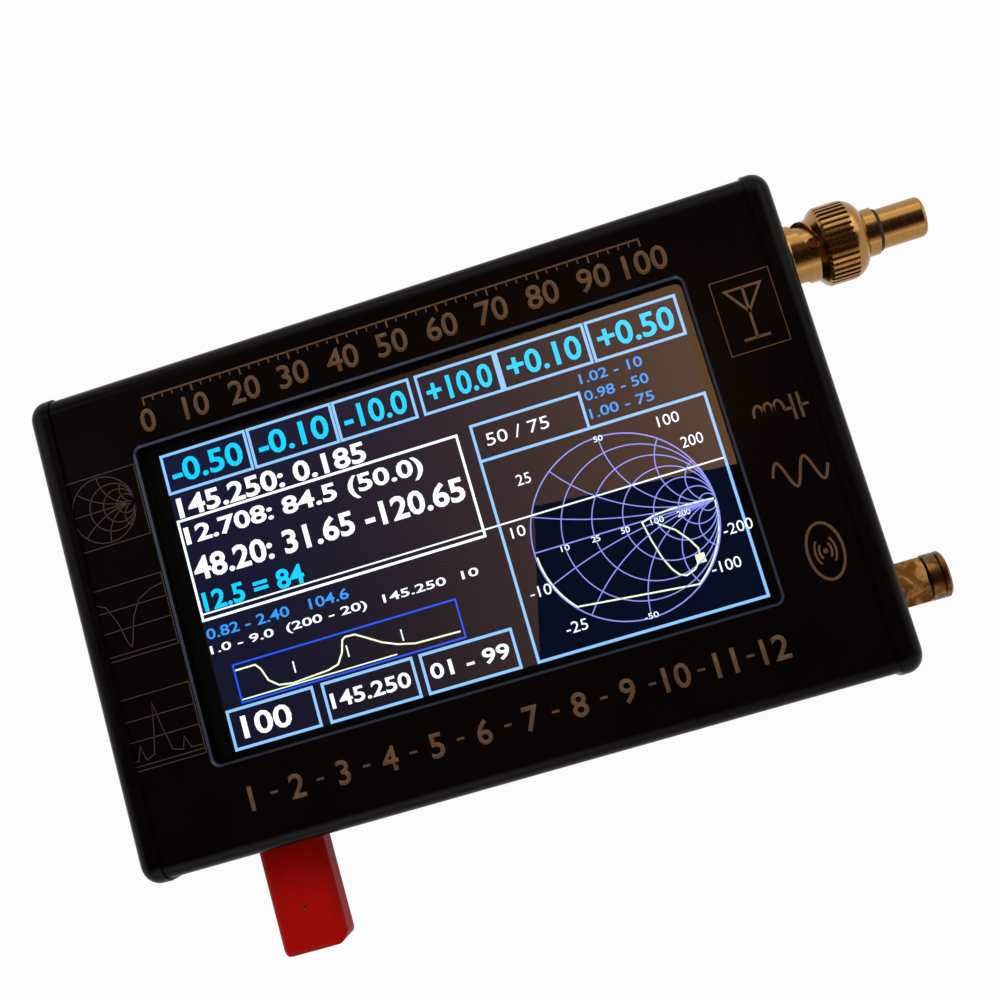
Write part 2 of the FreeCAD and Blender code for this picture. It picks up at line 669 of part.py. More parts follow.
def battery_pack():
    """Flat pouch cell with rounded long edges."""
    z = (FLOOR + BATTERY_PAD, FLOOR + BATTERY_PAD + BATTERY_HEIGHT)
    return block(span(0, BATTERY_LENGTH), span(0, BATTERY_WIDTH), z, X_AXIS, BATTERY_EDGE_RADIUS)


def upper_jack_shell():
    """Bayonet jack: flange inside the plate, threaded neck, barrel with two lugs, deep mouth."""
    bottom = JACK_TIP - JACK_MOUTH_DEPTH
    seat = SHELL_END - JACK_FLANGE_THICKNESS
    nut_face = PLATE_FACE + PANEL_WASHER_THICKNESS + JACK_NUT_THICKNESS
    lip = JACK_BARREL_RADIUS - (JACK_BARREL_RADIUS - JACK_MOUTH_RADIUS) / 3
    body = turned([(JACK_REAR, JACK_CORE_RADIUS), (JACK_REAR, JACK_THREAD_RADIUS), (seat, JACK_THREAD_RADIUS),
                   (seat, JACK_FLANGE_RADIUS), (SHELL_END, JACK_FLANGE_RADIUS),
                   (SHELL_END, JACK_THREAD_RADIUS), (nut_face, JACK_THREAD_RADIUS),
                   (nut_face, JACK_BARREL_RADIUS), (JACK_TIP - FACE_GAP * 3, JACK_BARREL_RADIUS),
                   (JACK_TIP, lip), (JACK_TIP, JACK_MOUTH_RADIUS), (bottom, JACK_MOUTH_RADIUS),
                   (bottom, JACK_CORE_RADIUS)], UPPER_PORT_Y, PORT_HEIGHT)
    root = (JACK_MOUTH_RADIUS + JACK_BARREL_RADIUS) / 2
    top = JACK_BARREL_RADIUS + LUG_HEIGHT
    for way in (-1, 1):
        z = (PORT_HEIGHT + way * root, PORT_HEIGHT + way * top)
        body = body.fuse(post(LUG_RADIUS, LUG_X, UPPER_PORT_Y, (min(z), max(z))))
    return body


def upper_jack_insulator():
    """Insulator in the jack: core through the body, shoulder on the bottom of the mouth."""
    bottom = JACK_TIP - JACK_MOUTH_DEPTH
    core = JACK_CORE_RADIUS - SCREW_CLEARANCE
    shoulder = JACK_MOUTH_RADIUS - SCREW_CLEARANCE
    end = bottom + PANEL_WASHER_THICKNESS * 2
    return turned([(JACK_REAR, SOCKET_CONTACT_RADIUS + SCREW_CLEARANCE), (JACK_REAR, core), (bottom, core),
                   (bottom, shoulder), (end, shoulder), (end, SOCKET_CONTACT_RADIUS + SCREW_CLEARANCE)],
                  UPPER_PORT_Y, PORT_HEIGHT)


def centre_contact(radius, bore, x_tip, x_open, y):
    """Centre contact of a jack: socket at the front, collar at the rear, tail down on the radio board."""
    collar = radius + SCREW_CLEARANCE * 4
    rear = JACK_REAR - FACE_GAP * 4
    tail = JACK_REAR - CONTACT_TAIL_LENGTH
    return turned([(tail, 0), (tail, CONTACT_TAIL_RADIUS), (rear, CONTACT_TAIL_RADIUS), (rear, collar),
                   (JACK_REAR, collar), (JACK_REAR, radius), (x_tip, radius), (x_tip, bore),
                   (x_open, bore), (x_open, 0)], y, PORT_HEIGHT)


def upper_jack_contact():
    """Centre contact of the bayonet jack."""
    tip = JACK_TIP - LUG_FROM_TIP / 2
    return centre_contact(SOCKET_CONTACT_RADIUS, PLUG_PIN_RADIUS + SCREW_CLEARANCE, tip,
                          tip - LUG_FROM_TIP, UPPER_PORT_Y)


def panel_washer(radius, hole, y):
    """Washer on the outside of the right end plate."""
    x = (PLATE_FACE, PLATE_FACE + PANEL_WASHER_THICKNESS)
    return rod(radius, x, y, PORT_HEIGHT).cut(rod(hole + SCREW_CLEARANCE, x, y, PORT_HEIGHT))


def panel_nut(flats, thickness, hole, y):
    """Hexagonal nut over the washer."""
    x = (PLATE_FACE + PANEL_WASHER_THICKNESS, PLATE_FACE + PANEL_WASHER_THICKNESS + thickness)
    nut = chamfered_hexagon(flats, x, y, PORT_HEIGHT, both_ends=False)
    return nut.cut(rod(hole + SCREW_CLEARANCE, x, y, PORT_HEIGHT))


def bayonet_slot():
    """One helical slot of the coupling nut, cut for a lug that stands at the top when locked.

    It starts open at the nut's front on the +Y side, climbs by the bayonet rise over a quarter turn
    and ends in a round seat over the lug.
    """
    width = 2 * (LUG_RADIUS + SLOT_CLEARANCE)
    inner = NUT_BORE_RADIUS - SLOT_CLEARANCE * 4
    outer = SLEEVE_RADIUS + SLOT_CLEARANCE * 4
    mean = (NUT_BORE_RADIUS + SLEEVE_RADIUS) / 2
    lead_angle = math.atan(BAYONET_RISE / (mean * math.pi / 2))
    half = width / 2 / math.cos(lead_angle)
    path = Part.Wire(Part.makeHelix(4 * BAYONET_RISE, BAYONET_RISE, mean))
    section = Part.makePolygon([Vector(inner, 0, -half), Vector(outer, 0, -half), Vector(outer, 0, half),
                                Vector(inner, 0, half), Vector(inner, 0, -half)])
    ramp = path.makePipeShell([section], True, True)
    if ramp.Volume < 0:
        ramp.reverse()
    entry = Part.makeBox(outer - inner, width, NUT_FRONT_TO_LUG,
                         Vector(inner, -width / 2, -NUT_FRONT_TO_LUG))
    start = Part.makeCylinder(width / 2, outer - inner, Vector(inner, 0, 0), X_AXIS)
    seat = Part.makeCylinder(width / 2, outer - inner, Vector(0, inner, BAYONET_RISE), Y_AXIS)
    slot = ramp.fuse([entry, start, seat])
    slot.rotate(Vector(0, 0, 0), Vector(1, 1, 1), 120)
    slot.translate(Vector(LUG_X - BAYONET_RISE, UPPER_PORT_Y, PORT_HEIGHT))
    return slot


def knurl_flutes():
    """Straight V flutes round the grip of the coupling nut."""
    x0 = NUT_FRONT + KNURL_START - FLUTE_DEPTH
    length = KNURL_WIDTH + 2 * FLUTE_DEPTH
    half_pitch = math.pi * KNURL_RADIUS / KNURL_FLUTES
    flutes = []
    for step in range(KNURL_FLUTES):
        points = []
        for across, height in ((0, -FLUTE_DEPTH), (half_pitch * 0.8, FLUTE_DEPTH / 3),
                               (-half_pitch * 0.8, FLUTE_DEPTH / 3), (0, -FLUTE_DEPTH)):
            points.append(Vector(x0, across, KNURL_RADIUS + height))
        flute = Part.Face(Part.makePolygon(points)).extrude(X_AXIS * length)
        flute.rotate(Vector(0, 0, 0), X_AXIS, 360.0 * step / KNURL_FLUTES)
        flute.translate(Vector(0, UPPER_PORT_Y, PORT_HEIGHT))
        flutes.append(flute)
    return flutes


def coupling_nut():
    """Bayonet coupling nut: slotted sleeve in front, fluted grip behind, rear wall that pulls the plug in."""
    bead = SLEEVE_RADIUS + SLEEVE_BEAD
    sleeve_end = NUT_FRONT + SLEEVE_LENGTH
    grip = NUT_FRONT + KNURL_START
    grip_end = grip + KNURL_WIDTH
    drop = KNURL_RADIUS - NUT_REAR_RADIUS
    rear_bore = PLUG_NECK_RADIUS + PLUG_COLLAR_GAP
    ease = (grip - sleeve_end) * 0.6
    lip = (SLEEVE_RADIUS - NUT_BORE_RADIUS) / 2
    nut = turned([(NUT_FRONT, NUT_BORE_RADIUS), (NUT_FRONT, bead - lip), (NUT_FRONT + lip, bead),
                  (NUT_FRONT + 2 * lip, bead), (NUT_FRONT + 3 * lip, SLEEVE_RADIUS),
                  (sleeve_end, SLEEVE_RADIUS), (sleeve_end + ease, KNURL_RADIUS - drop / 6),
                  (grip, KNURL_RADIUS), (grip_end, KNURL_RADIUS),
                  (NUT_REAR, NUT_REAR_RADIUS, grip_end + 0.65 * (NUT_REAR - grip_end),
                   NUT_REAR_RADIUS + 0.62 * drop),
                  (NUT_REAR, rear_bore), (NUT_WALL_X, rear_bore), (NUT_WALL_X, NUT_BORE_RADIUS)],
                 UPPER_PORT_Y, PORT_HEIGHT)
    slot = bayonet_slot()
    other = slot.copy()
    other.rotate(Vector(0, UPPER_PORT_Y, PORT_HEIGHT), X_AXIS, 180)
    return nut.cut([slot, other]).cut(knurl_flutes())


def plug_body():
    """Plug body: contact tube in the jack's mouth, flange in the nut, neck, collar and rear sleeve."""
    tube_front = JACK_TIP - PLUG_TUBE_INSERTION
    tube_bore = PLUG_TUBE_RADIUS - PLUG_TUBE_WALL
    flange_rear = NUT_WALL_X - SPRING_WASHER_THICKNESS - FACE_GAP
    flange_front = flange_rear - PLUG_FLANGE_THICKNESS
    flange = NUT_BORE_RADIUS - PLUG_FLANGE_GAP
    sleeve = FERRULE_SEAT_RADIUS - SCREW_CLEARANCE
    ease = PLUG_TUBE_WALL / 3
    return turned([(tube_front, tube_bore), (tube_front, PLUG_TUBE_RADIUS - ease),
                   (tube_front + ease, PLUG_TUBE_RADIUS), (flange_front, PLUG_TUBE_RADIUS),
                   (flange_front, flange), (flange_rear, flange), (flange_rear, PLUG_NECK_RADIUS),
                   (COLLAR_X, PLUG_NECK_RADIUS), (COLLAR_X, PLUG_COLLAR_RADIUS),
                   (RING_X, PLUG_COLLAR_RADIUS), (RING_X, sleeve),
                   (FERRULE_X + FERRULE_SEAT_LENGTH, sleeve),
                   (FERRULE_X + FERRULE_SEAT_LENGTH, PLUG_CORE_RADIUS), (flange_front, PLUG_CORE_RADIUS),
                   (flange_front, tube_bore)], UPPER_PORT_Y, PORT_HEIGHT)


def spring_washer():
    """Flat spring between the plug's flange and the nut's rear wall."""
    x1 = NUT_WALL_X - FACE_GAP
    x = (x1 - SPRING_WASHER_THICKNESS, x1)
    ring = rod(NUT_BORE_RADIUS - PLUG_FLANGE_GAP, x, UPPER_PORT_Y, PORT_HEIGHT)
    return ring.cut(rod(PLUG_NECK_RADIUS + SCREW_CLEARANCE, x, UPPER_PORT_Y, PORT_HEIGHT))


def plug_insulator():
    """Insulator that centres the pin in the plug body."""
    flange_front = NUT_WALL_X - SPRING_WASHER_THICKNESS - FACE_GAP - PLUG_FLANGE_THICKNESS
    front = flange_front - PLUG_TUBE_WALL
    hole = PLUG_PIN_RADIUS + SCREW_CLEARANCE
    head = PLUG_TUBE_RADIUS - PLUG_TUBE_WALL - SCREW_CLEARANCE
    core = PLUG_CORE_RADIUS - SCREW_CLEARANCE
    return turned([(front, hole), (front, head), (flange_front, head), (flange_front, core),
                   (COLLAR_X, core), (COLLAR_X, hole)], UPPER_PORT_Y, PORT_HEIGHT)


def plug_pin():
    """Centre pin of the plug, with a collar behind its insulator."""
    tip = JACK_TIP - LUG_FROM_TIP / 2 - LUG_FROM_TIP + FACE_GAP * 5
    collar = PLUG_PIN_RADIUS + SCREW_CLEARANCE * 8
    return turned([(tip, 0), (tip + PLUG_PIN_RADIUS, PLUG_PIN_RADIUS), (COLLAR_X, PLUG_PIN_RADIUS),
                   (COLLAR_X, collar), (RING_X, collar), (RING_X, 0)], UPPER_PORT_Y, PORT_HEIGHT)


def seal_ring():
    """Dark rubber ring between the collar and the ferrule."""
    bore = FERRULE_SEAT_RADIUS
    edge = SEAL_RING_WIDTH / 4
    return turned([(RING_X, bore), (RING_X, SEAL_RING_RADIUS - edge), (RING_X + edge, SEAL_RING_RADIUS),
                   (FERRULE_X - edge, SEAL_RING_RADIUS), (FERRULE_X, SEAL_RING_RADIUS - edge),
                   (FERRULE_X, bore)], UPPER_PORT_Y, PORT_HEIGHT)


def crimp_ferrule():
    """Smooth tube that is crimped on the cable, seated on the plug's rear sleeve."""
    seat = FERRULE_X + FERRULE_SEAT_LENGTH
    chamfer = FERRULE_CHAMFER
    return turned([(FERRULE_X, FERRULE_SEAT_RADIUS), (FERRULE_X, FERRULE_RADIUS),
                   (FERRULE_END - chamfer, FERRULE_RADIUS), (FERRULE_END, FERRULE_RADIUS - chamfer / 2),
                   (FERRULE_END, FERRULE_BORE_RADIUS), (seat, FERRULE_BORE_RADIUS),
                   (seat, FERRULE_SEAT_RADIUS)], UPPER_PORT_Y, PORT_HEIGHT)


def lower_jack_shell():
    """Threaded jack: flange inside the plate, threaded barrel, shallow mouth."""
    bottom = SMALL_TIP - SMALL_MOUTH_DEPTH
    seat = SHELL_END - JACK_FLANGE_THICKNESS
    ease = (SMALL_THREAD_RADIUS - SMALL_MOUTH_RADIUS) / 2
    return turned([(JACK_REAR, SMALL_CORE_RADIUS), (JACK_REAR, SMALL_THREAD_RADIUS), (seat, SMALL_THREAD_RADIUS),
                   (seat, SMALL_FLANGE_RADIUS), (SHELL_END, SMALL_FLANGE_RADIUS),
                   (SHELL_END, SMALL_THREAD_RADIUS), (SMALL_TIP - ease, SMALL_THREAD_RADIUS),
                   (SMALL_TIP, SMALL_THREAD_RADIUS - ease), (SMALL_TIP, SMALL_MOUTH_RADIUS),
                   (bottom, SMALL_MOUTH_RADIUS), (bottom, SMALL_CORE_RADIUS)], LOWER_PORT_Y, PORT_HEIGHT)


def lower_jack_insulator():
    """Insulator of the threaded jack, with a shoulder on the bottom of the mouth."""
    bottom = SMALL_TIP - SMALL_MOUTH_DEPTH
    hole = SMALL_CONTACT_RADIUS + SCREW_CLEARANCE
    core = SMALL_CORE_RADIUS - SCREW_CLEARANCE
    shoulder = SMALL_MOUTH_RADIUS - SCREW_CLEARANCE
    end = bottom + LOAD_TUBE_WALL
    return turned([(JACK_REAR, hole), (JACK_REAR, core), (bottom, core), (bottom, shoulder),
                   (end, shoulder), (end, hole)], LOWER_PORT_Y, PORT_HEIGHT)


def lower_jack_contact():
    """Centre contact of the threaded jack."""
    tip = SMALL_TIP - FACE_GAP * 5
    return centre_contact(SMALL_CONTACT_RADIUS, LOAD_PIN_RADIUS + SCREW_CLEARANCE, tip,
                          tip - SMALL_MOUTH_DEPTH, LOWER_PORT_Y)


def load_nut():
    """Hexagonal nut of the load, with a rear wall behind the load's flange."""
    x = (SMALL_TIP - LOAD_NUT_OVER_JACK, SMALL_TIP + LOAD_NUT_PAST_JACK)
    wall = x[1] - LOAD_NUT_WALL
    nut = chamfered_hexagon(LOAD_NUT_FLATS, x, LOWER_PORT_Y, PORT_HEIGHT)
    bore = rod(SMALL_THREAD_RADIUS + LOAD_NUT_BORE_CLEARANCE, (x[0], wall), LOWER_PORT_Y, PORT_HEIGHT)
    neck = rod(LOAD_NECK_RADIUS + LOAD_NECK_CLEARANCE, x, LOWER_PORT_Y, PORT_HEIGHT)
    return nut.cut(bore).cut(neck)


def load_body():
    """Body of the load: tube in the jack's mouth, flange held by the nut, round housing behind."""
    flange_rear = SMALL_TIP + LOAD_NUT_PAST_JACK - LOAD_NUT_WALL - FACE_GAP
    flange_front = flange_rear - LOAD_FLANGE_THICKNESS
    tube = SMALL_MOUTH_RADIUS - LOAD_TUBE_CLEARANCE
    tube_bore = tube - LOAD_TUBE_WALL
    tube_front = SMALL_TIP - SMALL_MOUTH_DEPTH + LOAD_TUBE_WALL + 2 * LOAD_TUBE_CLEARANCE
    flange = SMALL_THREAD_RADIUS - FACE_GAP
    housing = SMALL_TIP + LOAD_NUT_PAST_JACK + 2 * FACE_GAP
    end = housing + LOAD_BODY_LENGTH
    groove = end - LOAD_BODY_CHAMFER * 2.5
    ease = LOAD_BODY_CHAMFER
    dip = LOAD_BODY_RADIUS - LOAD_BODY_CHAMFER / 2
    return turned([(tube_front, tube_bore), (tube_front, tube), (flange_front, tube), (flange_front, flange),
                   (flange_rear, flange), (flange_rear, LOAD_NECK_RADIUS), (housing, LOAD_NECK_RADIUS),
                   (housing, LOAD_BODY_RADIUS - ease / 2), (housing + ease / 2, LOAD_BODY_RADIUS),
                   (groove - ease, LOAD_BODY_RADIUS), (groove - ease / 2, dip), (groove, LOAD_BODY_RADIUS),
                   (end - ease, LOAD_BODY_RADIUS), (end, LOAD_BODY_RADIUS - ease), (end, 0),
                   (flange_rear, 0), (flange_rear, tube_bore)], LOWER_PORT_Y, PORT_HEIGHT)


def load_insulator():
    """Disc that centres the load's pin, bedded in the tube."""
    rear = SMALL_TIP + LOAD_NUT_PAST_JACK - LOAD_NUT_WALL - FACE_GAP
    tube_bore = SMALL_MOUTH_RADIUS - LOAD_TUBE_CLEARANCE - LOAD_TUBE_WALL
    x = (rear - LOAD_FLANGE_THICKNESS, rear)
    disc = rod(tube_bore - SCREW_CLEARANCE, x, LOWER_PORT_Y, PORT_HEIGHT)
    return disc.cut(rod(LOAD_PIN_RADIUS + SCREW_CLEARANCE, x, LOWER_PORT_Y, PORT_HEIGHT))


def load_pin():
    """Centre pin of the load, standing on the bottom of its body."""
    rear = SMALL_TIP + LOAD_NUT_PAST_JACK - LOAD_NUT_WALL - FACE_GAP
    tip = SMALL_TIP - SMALL_MOUTH_DEPTH + FACE_GAP
    return turned([(tip, 0), (tip + LOAD_PIN_RADIUS, LOAD_PIN_RADIUS), (rear, LOAD_PIN_RADIUS), (rear, 0)],
                  LOWER_PORT_Y, PORT_HEIGHT)


def usb_socket():
    """Metal socket under the main board, open at the long side of the case."""
    mouth = -SIDE + SOCKET_SETBACK
    outer = block(span(USB_X, SOCKET_WIDTH), (mouth, mouth + SOCKET_DEPTH), span(USB_Z, SOCKET_HEIGHT))
    cavity = block(span(USB_X, PLUG_SHELL_WIDTH + 2 * PLUG_SHELL_CLEARANCE),
                   (mouth, mouth + SOCKET_CAVITY_DEPTH),
                   span(USB_Z, PLUG_SHELL_HEIGHT + 2 * PLUG_SHELL_CLEARANCE))
    return outer.cut(cavity)


def usb_tongue():
    """Contact tongue in the upper half of the socket."""
    mouth = -SIDE + SOCKET_SETBACK
    width = PLUG_SHELL_WIDTH - 2 * (PLUG_SHELL_WALL + TONGUE_SIDE_GAP)
    return block(span(USB_X, width), (mouth + SOCKET_DEPTH / 10, mouth + SOCKET_CAVITY_DEPTH),
                 (USB_Z + TONGUE_OFFSET, USB_Z + TONGUE_OFFSET + TONGUE_THICKNESS))


def grip_section(y):
    """Outline of the red grip at y: flat top and bottom, sloping shoulders, low upright sides."""
    top = GRIP_TOP_WIDTH / 2
    side = GRIP_WIDTH / 2
    high = GRIP_THICKNESS / 2
    low = GRIP_SIDE_HEIGHT / 2
    bulge = (side * 0.94, high * 0.72)
    corners = [((-top, high), (top, high), None), ((top, high), (side, low), bulge),
               ((side, low), (side, -low), None), ((side, -low), (top, -high), (bulge[0], -bulge[1])),
               ((top, -high), (-top, -high), None), ((-top, -high), (-side, -low), (-bulge[0], -bulge[1])),
               ((-side, -low), (-side, low), None), ((-side, low), (-top, high), (-bulge[0], bulge[1]))]
    edges = []
    for start, end, middle in corners:
        a = Vector(USB_X + start[0], y, USB_Z + start[1])
        b = Vector(USB_X + end[0], y, USB_Z + end[1])
        if middle is None:
            edges.append(Part.LineSegment(a, b).toShape())
        else:
            edges.append(Part.Arc(a, Vector(USB_X + middle[0], y, USB_Z + middle[1]), b).toShape())
    return Part.Wire(edges)


def usb_grip():
    """Red moulded grip, rounded at its far corners."""
    shoulder = -SIDE - GRIP_GAP
    body = Part.Face(grip_section(shoulder)).extrude(Y_AXIS * -GRIP_LENGTH)
    tall = span(USB_Z, 2 * GRIP_THICKNESS)
    plan = block(span(USB_X, GRIP_WIDTH), (shoulder - GRIP_LENGTH, shoulder + 2 * GRIP_END_RADIUS),
                 tall, Z_AXIS, GRIP_END_RADIUS)
    wide = span(USB_X, 2 * GRIP_WIDTH)
    side_view = block(wide, (shoulder - GRIP_LENGTH, shoulder + 2 * GRIP_END_RADIUS),
                      span(USB_Z, GRIP_THICKNESS), X_AXIS, GRIP_END_RADIUS / 2)
    return body.common(plan).common(side_view)


def usb_plug_shell():
    """Folded metal shell of the red plug, open at its tip."""
    shoulder = -SIDE - GRIP_GAP
    y = (shoulder, shoulder + PLUG_SHELL_LENGTH)
    outer = block(span(USB_X, PLUG_SHELL_WIDTH), y, span(USB_Z, PLUG_SHELL_HEIGHT), Y_AXIS, PLUG_SHELL_WALL)
    inner = block(span(USB_X, PLUG_SHELL_WIDTH - 2 * PLUG_SHELL_WALL), y,
                  span(USB_Z, PLUG_SHELL_HEIGHT - 2 * PLUG_SHELL_WALL))
    return outer.cut(inner)


def usb_plug_insert():
    """Contact carrier in the lower half of the plug's shell."""
    shoulder = -SIDE - GRIP_GAP
    low = USB_Z - PLUG_SHELL_HEIGHT / 2 + PLUG_SHELL_WALL
    return block(span(USB_X, PLUG_SHELL_WIDTH - 2 * PLUG_SHELL_WALL),
                 (shoulder, shoulder + PLUG_SHELL_LENGTH - PLUG_SHELL_WALL),
                 (low, USB_Z - TONGUE_OFFSET / 2))


def card_socket():
    """Low socket on the main board that guides the memory card."""
    x = (MAIN_LEFT, MAIN_LEFT + CARD_SOCKET_LENGTH)
    high = CARD_THICKNESS + 2 * (CARD_SLOT_CLEARANCE + CARD_SOCKET_WALL)
    outer = block(x, span(CARD_Y, CARD_WIDTH + 2 * (CARD_SLOT_CLEARANCE + CARD_SOCKET_WALL)),
                  (MAIN_TOP, MAIN_TOP + high))
    cavity = block((x[0], x[1] - CARD_SOCKET_WALL), span(CARD_Y, CARD_WIDTH + 2 * CARD_SLOT_CLEARANCE),
                   span(CARD_Z, CARD_THICKNESS + 2 * CARD_SLOT_CLEARANCE))
    return outer.cut(cavity)


def memory_card():
    """Memory card, just proud of the left end plate, with the usual notch in one long side."""
    x0 = -PLATE_FACE - CARD_PROUD
    card = block((x0, x0 + CARD_LENGTH), span(CARD_Y, CARD_WIDTH), span(CARD_Z, CARD_THICKNESS),
                 Z_AXIS, CARD_NOTCH / 2)
    notch = block((x0 + CARD_LENGTH * 0.55, x0 + CARD_LENGTH * 0.66),
                  (CARD_Y + CARD_WIDTH / 2 - CARD_NOTCH, CARD_Y + CARD_WIDTH / 2),
                  span(CARD_Z, CARD_THICKNESS))
    return card.cut(notch)


def switch_body():
    """Case of the power switch behind the left end plate, hollow where the knob slides."""
    x = (-SHELL_END, -SHELL_END + SWITCH_BODY_DEPTH)
    middle = SWITCH_Y + KNOB_TRAVEL / 2
    body = block(x, span(middle, SWITCH_BODY_WIDTH), span(PORT_HEIGHT, SWITCH_BODY_HEIGHT))
    way = block((-SHELL_END, -SHELL_END + KNOB_FOOT + KNOB_CLEARANCE),
                span(middle, KNOB_WIDTH + KNOB_TRAVEL + 2 * KNOB_CLEARANCE),
                span(PORT_HEIGHT, KNOB_HEIGHT + 2 * KNOB_CLEARANCE))
    return body.cut(way)


def switch_knob():
    """Sliding knob of the power switch, grooved across its top for the finger nail."""
    top = -PLATE_FACE - KNOB_PROUD
    knob = block((top, -SHELL_END + KNOB_FOOT), span(SWITCH_Y, KNOB_WIDTH), span(PORT_HEIGHT, KNOB_HEIGHT))
    for step in (-1, 0, 1):
        y = span(SWITCH_Y + step * KNOB_WIDTH / 4, KNOB_GROOVE)
        knob = knob.cut(block((top, top + KNOB_GROOVE), y, span(PORT_HEIGHT, KNOB_HEIGHT)))
    return knob


PIECES = {
    "upper_shell": upper_shell(),
    "lower_shell": lower_shell(),
    "right_bezel": bezel(),
    "left_bezel": mirrored(bezel()),
    "right_end_plate": port_plate(),
    "left_end_plate": switch_plate(),
    "right_bezel_screws": bezel_screws(),
    "left_bezel_screws": mirrored(bezel_screws()),
    "window_gasket": window_gasket(),
    "touch_glass": touch_glass(),
    "display_panel": display_panel(),
    "backlight": backlight(),
    "display_frame": display_frame(),
    "display_foam_pads": foam_pads(),
    "main_board": main_board(),
    "main_board_chips": main_chips(),
    "header_strips": header_strips(),
    "radio_board": radio_board(),
    "shield_can": shield_can(),
    "board_spacers": board_spacers(),
    "upper_board_screws": board_screws(MAIN_TOP, -1),
    "lower_board_screws": board_screws(RADIO_BOTTOM, 1),
    "battery_foam": battery_foam(),
    "battery_pack": battery_pack(),
    "upper_jack_shell": upper_jack_shell(),
    "upper_jack_insulator": upper_jack_insulator(),
    "upper_jack_contact": upper_jack_contact(),
    "upper_jack_washer": panel_washer(JACK_WASHER_RADIUS, JACK_THREAD_RADIUS, UPPER_PORT_Y),
    "upper_jack_nut": panel_nut(JACK_NUT_FLATS, JACK_NUT_THICKNESS, JACK_THREAD_RADIUS, UPPER_PORT_Y),
    "coupling_nut": coupling_nut(),
    "plug_body": plug_body(),
    "plug_spring_washer": spring_washer(),
    "plug_insulator": plug_insulator(),
    "plug_pin": plug_pin(),
    "plug_seal_ring": seal_ring(),
    "crimp_ferrule": crimp_ferrule(),
    "lower_jack_shell": lower_jack_shell(),
    "lower_jack_insulator": lower_jack_insulator(),
    "lower_jack_contact": lower_jack_contact(),
    "lower_jack_washer": panel_washer(SMALL_WASHER_RADIUS, SMALL_THREAD_RADIUS, LOWER_PORT_Y),
    "lower_jack_nut": panel_nut(SMALL_NUT_FLATS, SMALL_NUT_THICKNESS, SMALL_THREAD_RADIUS, LOWER_PORT_Y),
    "load_nut": load_nut(),
    "load_body": load_body(),
    "load_insulator": load_insulator(),
    "load_pin": load_pin(),
    "usb_socket": usb_socket(),
    "usb_tongue": usb_tongue(),
    "usb_plug_grip": usb_grip(),
    "usb_plug_shell": usb_plug_shell(),
    "usb_plug_insert": usb_plug_insert(),
    "card_socket": card_socket(),
    "memory_card": memory_card(),
    "power_switch_body": switch_body(),
    "power_switch_knob": switch_knob(),
}

os.makedirs("parts", exist_ok=True)
for name, shape in PIECES.items():
    shape.exportStep("parts/" + name + ".step")
    print(name, "solids", len(shape.Solids), "volume", round(shape.Volume, 2), "valid", shape.isValid())
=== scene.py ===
# %% [markdown]
# # Dressing a hand-held antenna analyzer
# The frame already holds every solid piece of the instrument, each at its real size and place.
# Building them again here could shift them, so this lesson only gives them their finishes, then adds
# what is too thin for solids: the marks burnt into the face, the lit picture behind the glass and
# the fine thread of the small port. Last come the floor, the light and the camera.

# %% Load the frame
import math
import bmesh
import bpy
from mathutils import Matrix, Vector


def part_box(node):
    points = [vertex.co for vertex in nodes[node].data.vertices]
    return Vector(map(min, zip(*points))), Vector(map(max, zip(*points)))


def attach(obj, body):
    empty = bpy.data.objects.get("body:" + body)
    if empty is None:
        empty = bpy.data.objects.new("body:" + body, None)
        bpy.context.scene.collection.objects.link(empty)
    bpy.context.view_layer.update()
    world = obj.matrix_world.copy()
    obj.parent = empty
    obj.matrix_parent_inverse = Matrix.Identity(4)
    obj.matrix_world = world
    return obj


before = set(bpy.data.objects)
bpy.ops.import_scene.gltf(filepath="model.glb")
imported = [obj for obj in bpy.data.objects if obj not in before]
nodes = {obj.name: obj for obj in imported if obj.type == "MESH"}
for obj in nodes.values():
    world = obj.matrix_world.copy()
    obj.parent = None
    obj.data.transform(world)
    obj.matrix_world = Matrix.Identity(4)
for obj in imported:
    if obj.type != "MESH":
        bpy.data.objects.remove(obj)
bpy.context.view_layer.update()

# %% [markdown]
# ## Places to work from
# Everything that is added sits on the case, so its places are read from the case. The lit area of
# the display is a known size, and the picture is laid out in millimetres from its centre.

# %% Places
MM = 0.001
FACE_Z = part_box("upper_shell")[1][2]
GLASS_LOW, GLASS_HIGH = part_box("touch_glass")
PICTURE_Z = GLASS_LOW[2]
PICTURE_CENTRE = Vector(((GLASS_LOW[0] + GLASS_HIGH[0]) / 2, (GLASS_LOW[1] + GLASS_HIGH[1]) / 2, 0))
PICTURE_HALF = (47.52 * MM, 26.93 * MM)
FLOOR_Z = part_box("left_bezel")[0][2]
print("face", round(FACE_Z, 4), "picture", round(PICTURE_Z, 4), "floor", round(FLOOR_Z, 4))

# %% [markdown]
# ## Shared surface effects
# Real finishes are never perfectly even. The unevenness could be wired anew in every material, but
# small node groups make it once, and each material takes what it needs: a fine grain for blasted
# metal and moulded plastic, fine rings for turned metal, and broad smudges for anything that hands
# touch. A group only gives masks and heights. The shader itself stays in the material.

# %% Group helpers
def start_group(name, inputs, outputs):
    """A node group with float inputs (name, value) and outputs (name, kind)."""
    group = bpy.data.node_groups.new(name, "ShaderNodeTree")
    for label, value in inputs:
        group.interface.new_socket(label, in_out="INPUT", socket_type="NodeSocketFloat").default_value = value
    for label, kind in outputs:
        group.interface.new_socket(label, in_out="OUTPUT", socket_type=kind)
    return group, group.nodes.new("NodeGroupInput"), group.nodes.new("NodeGroupOutput")


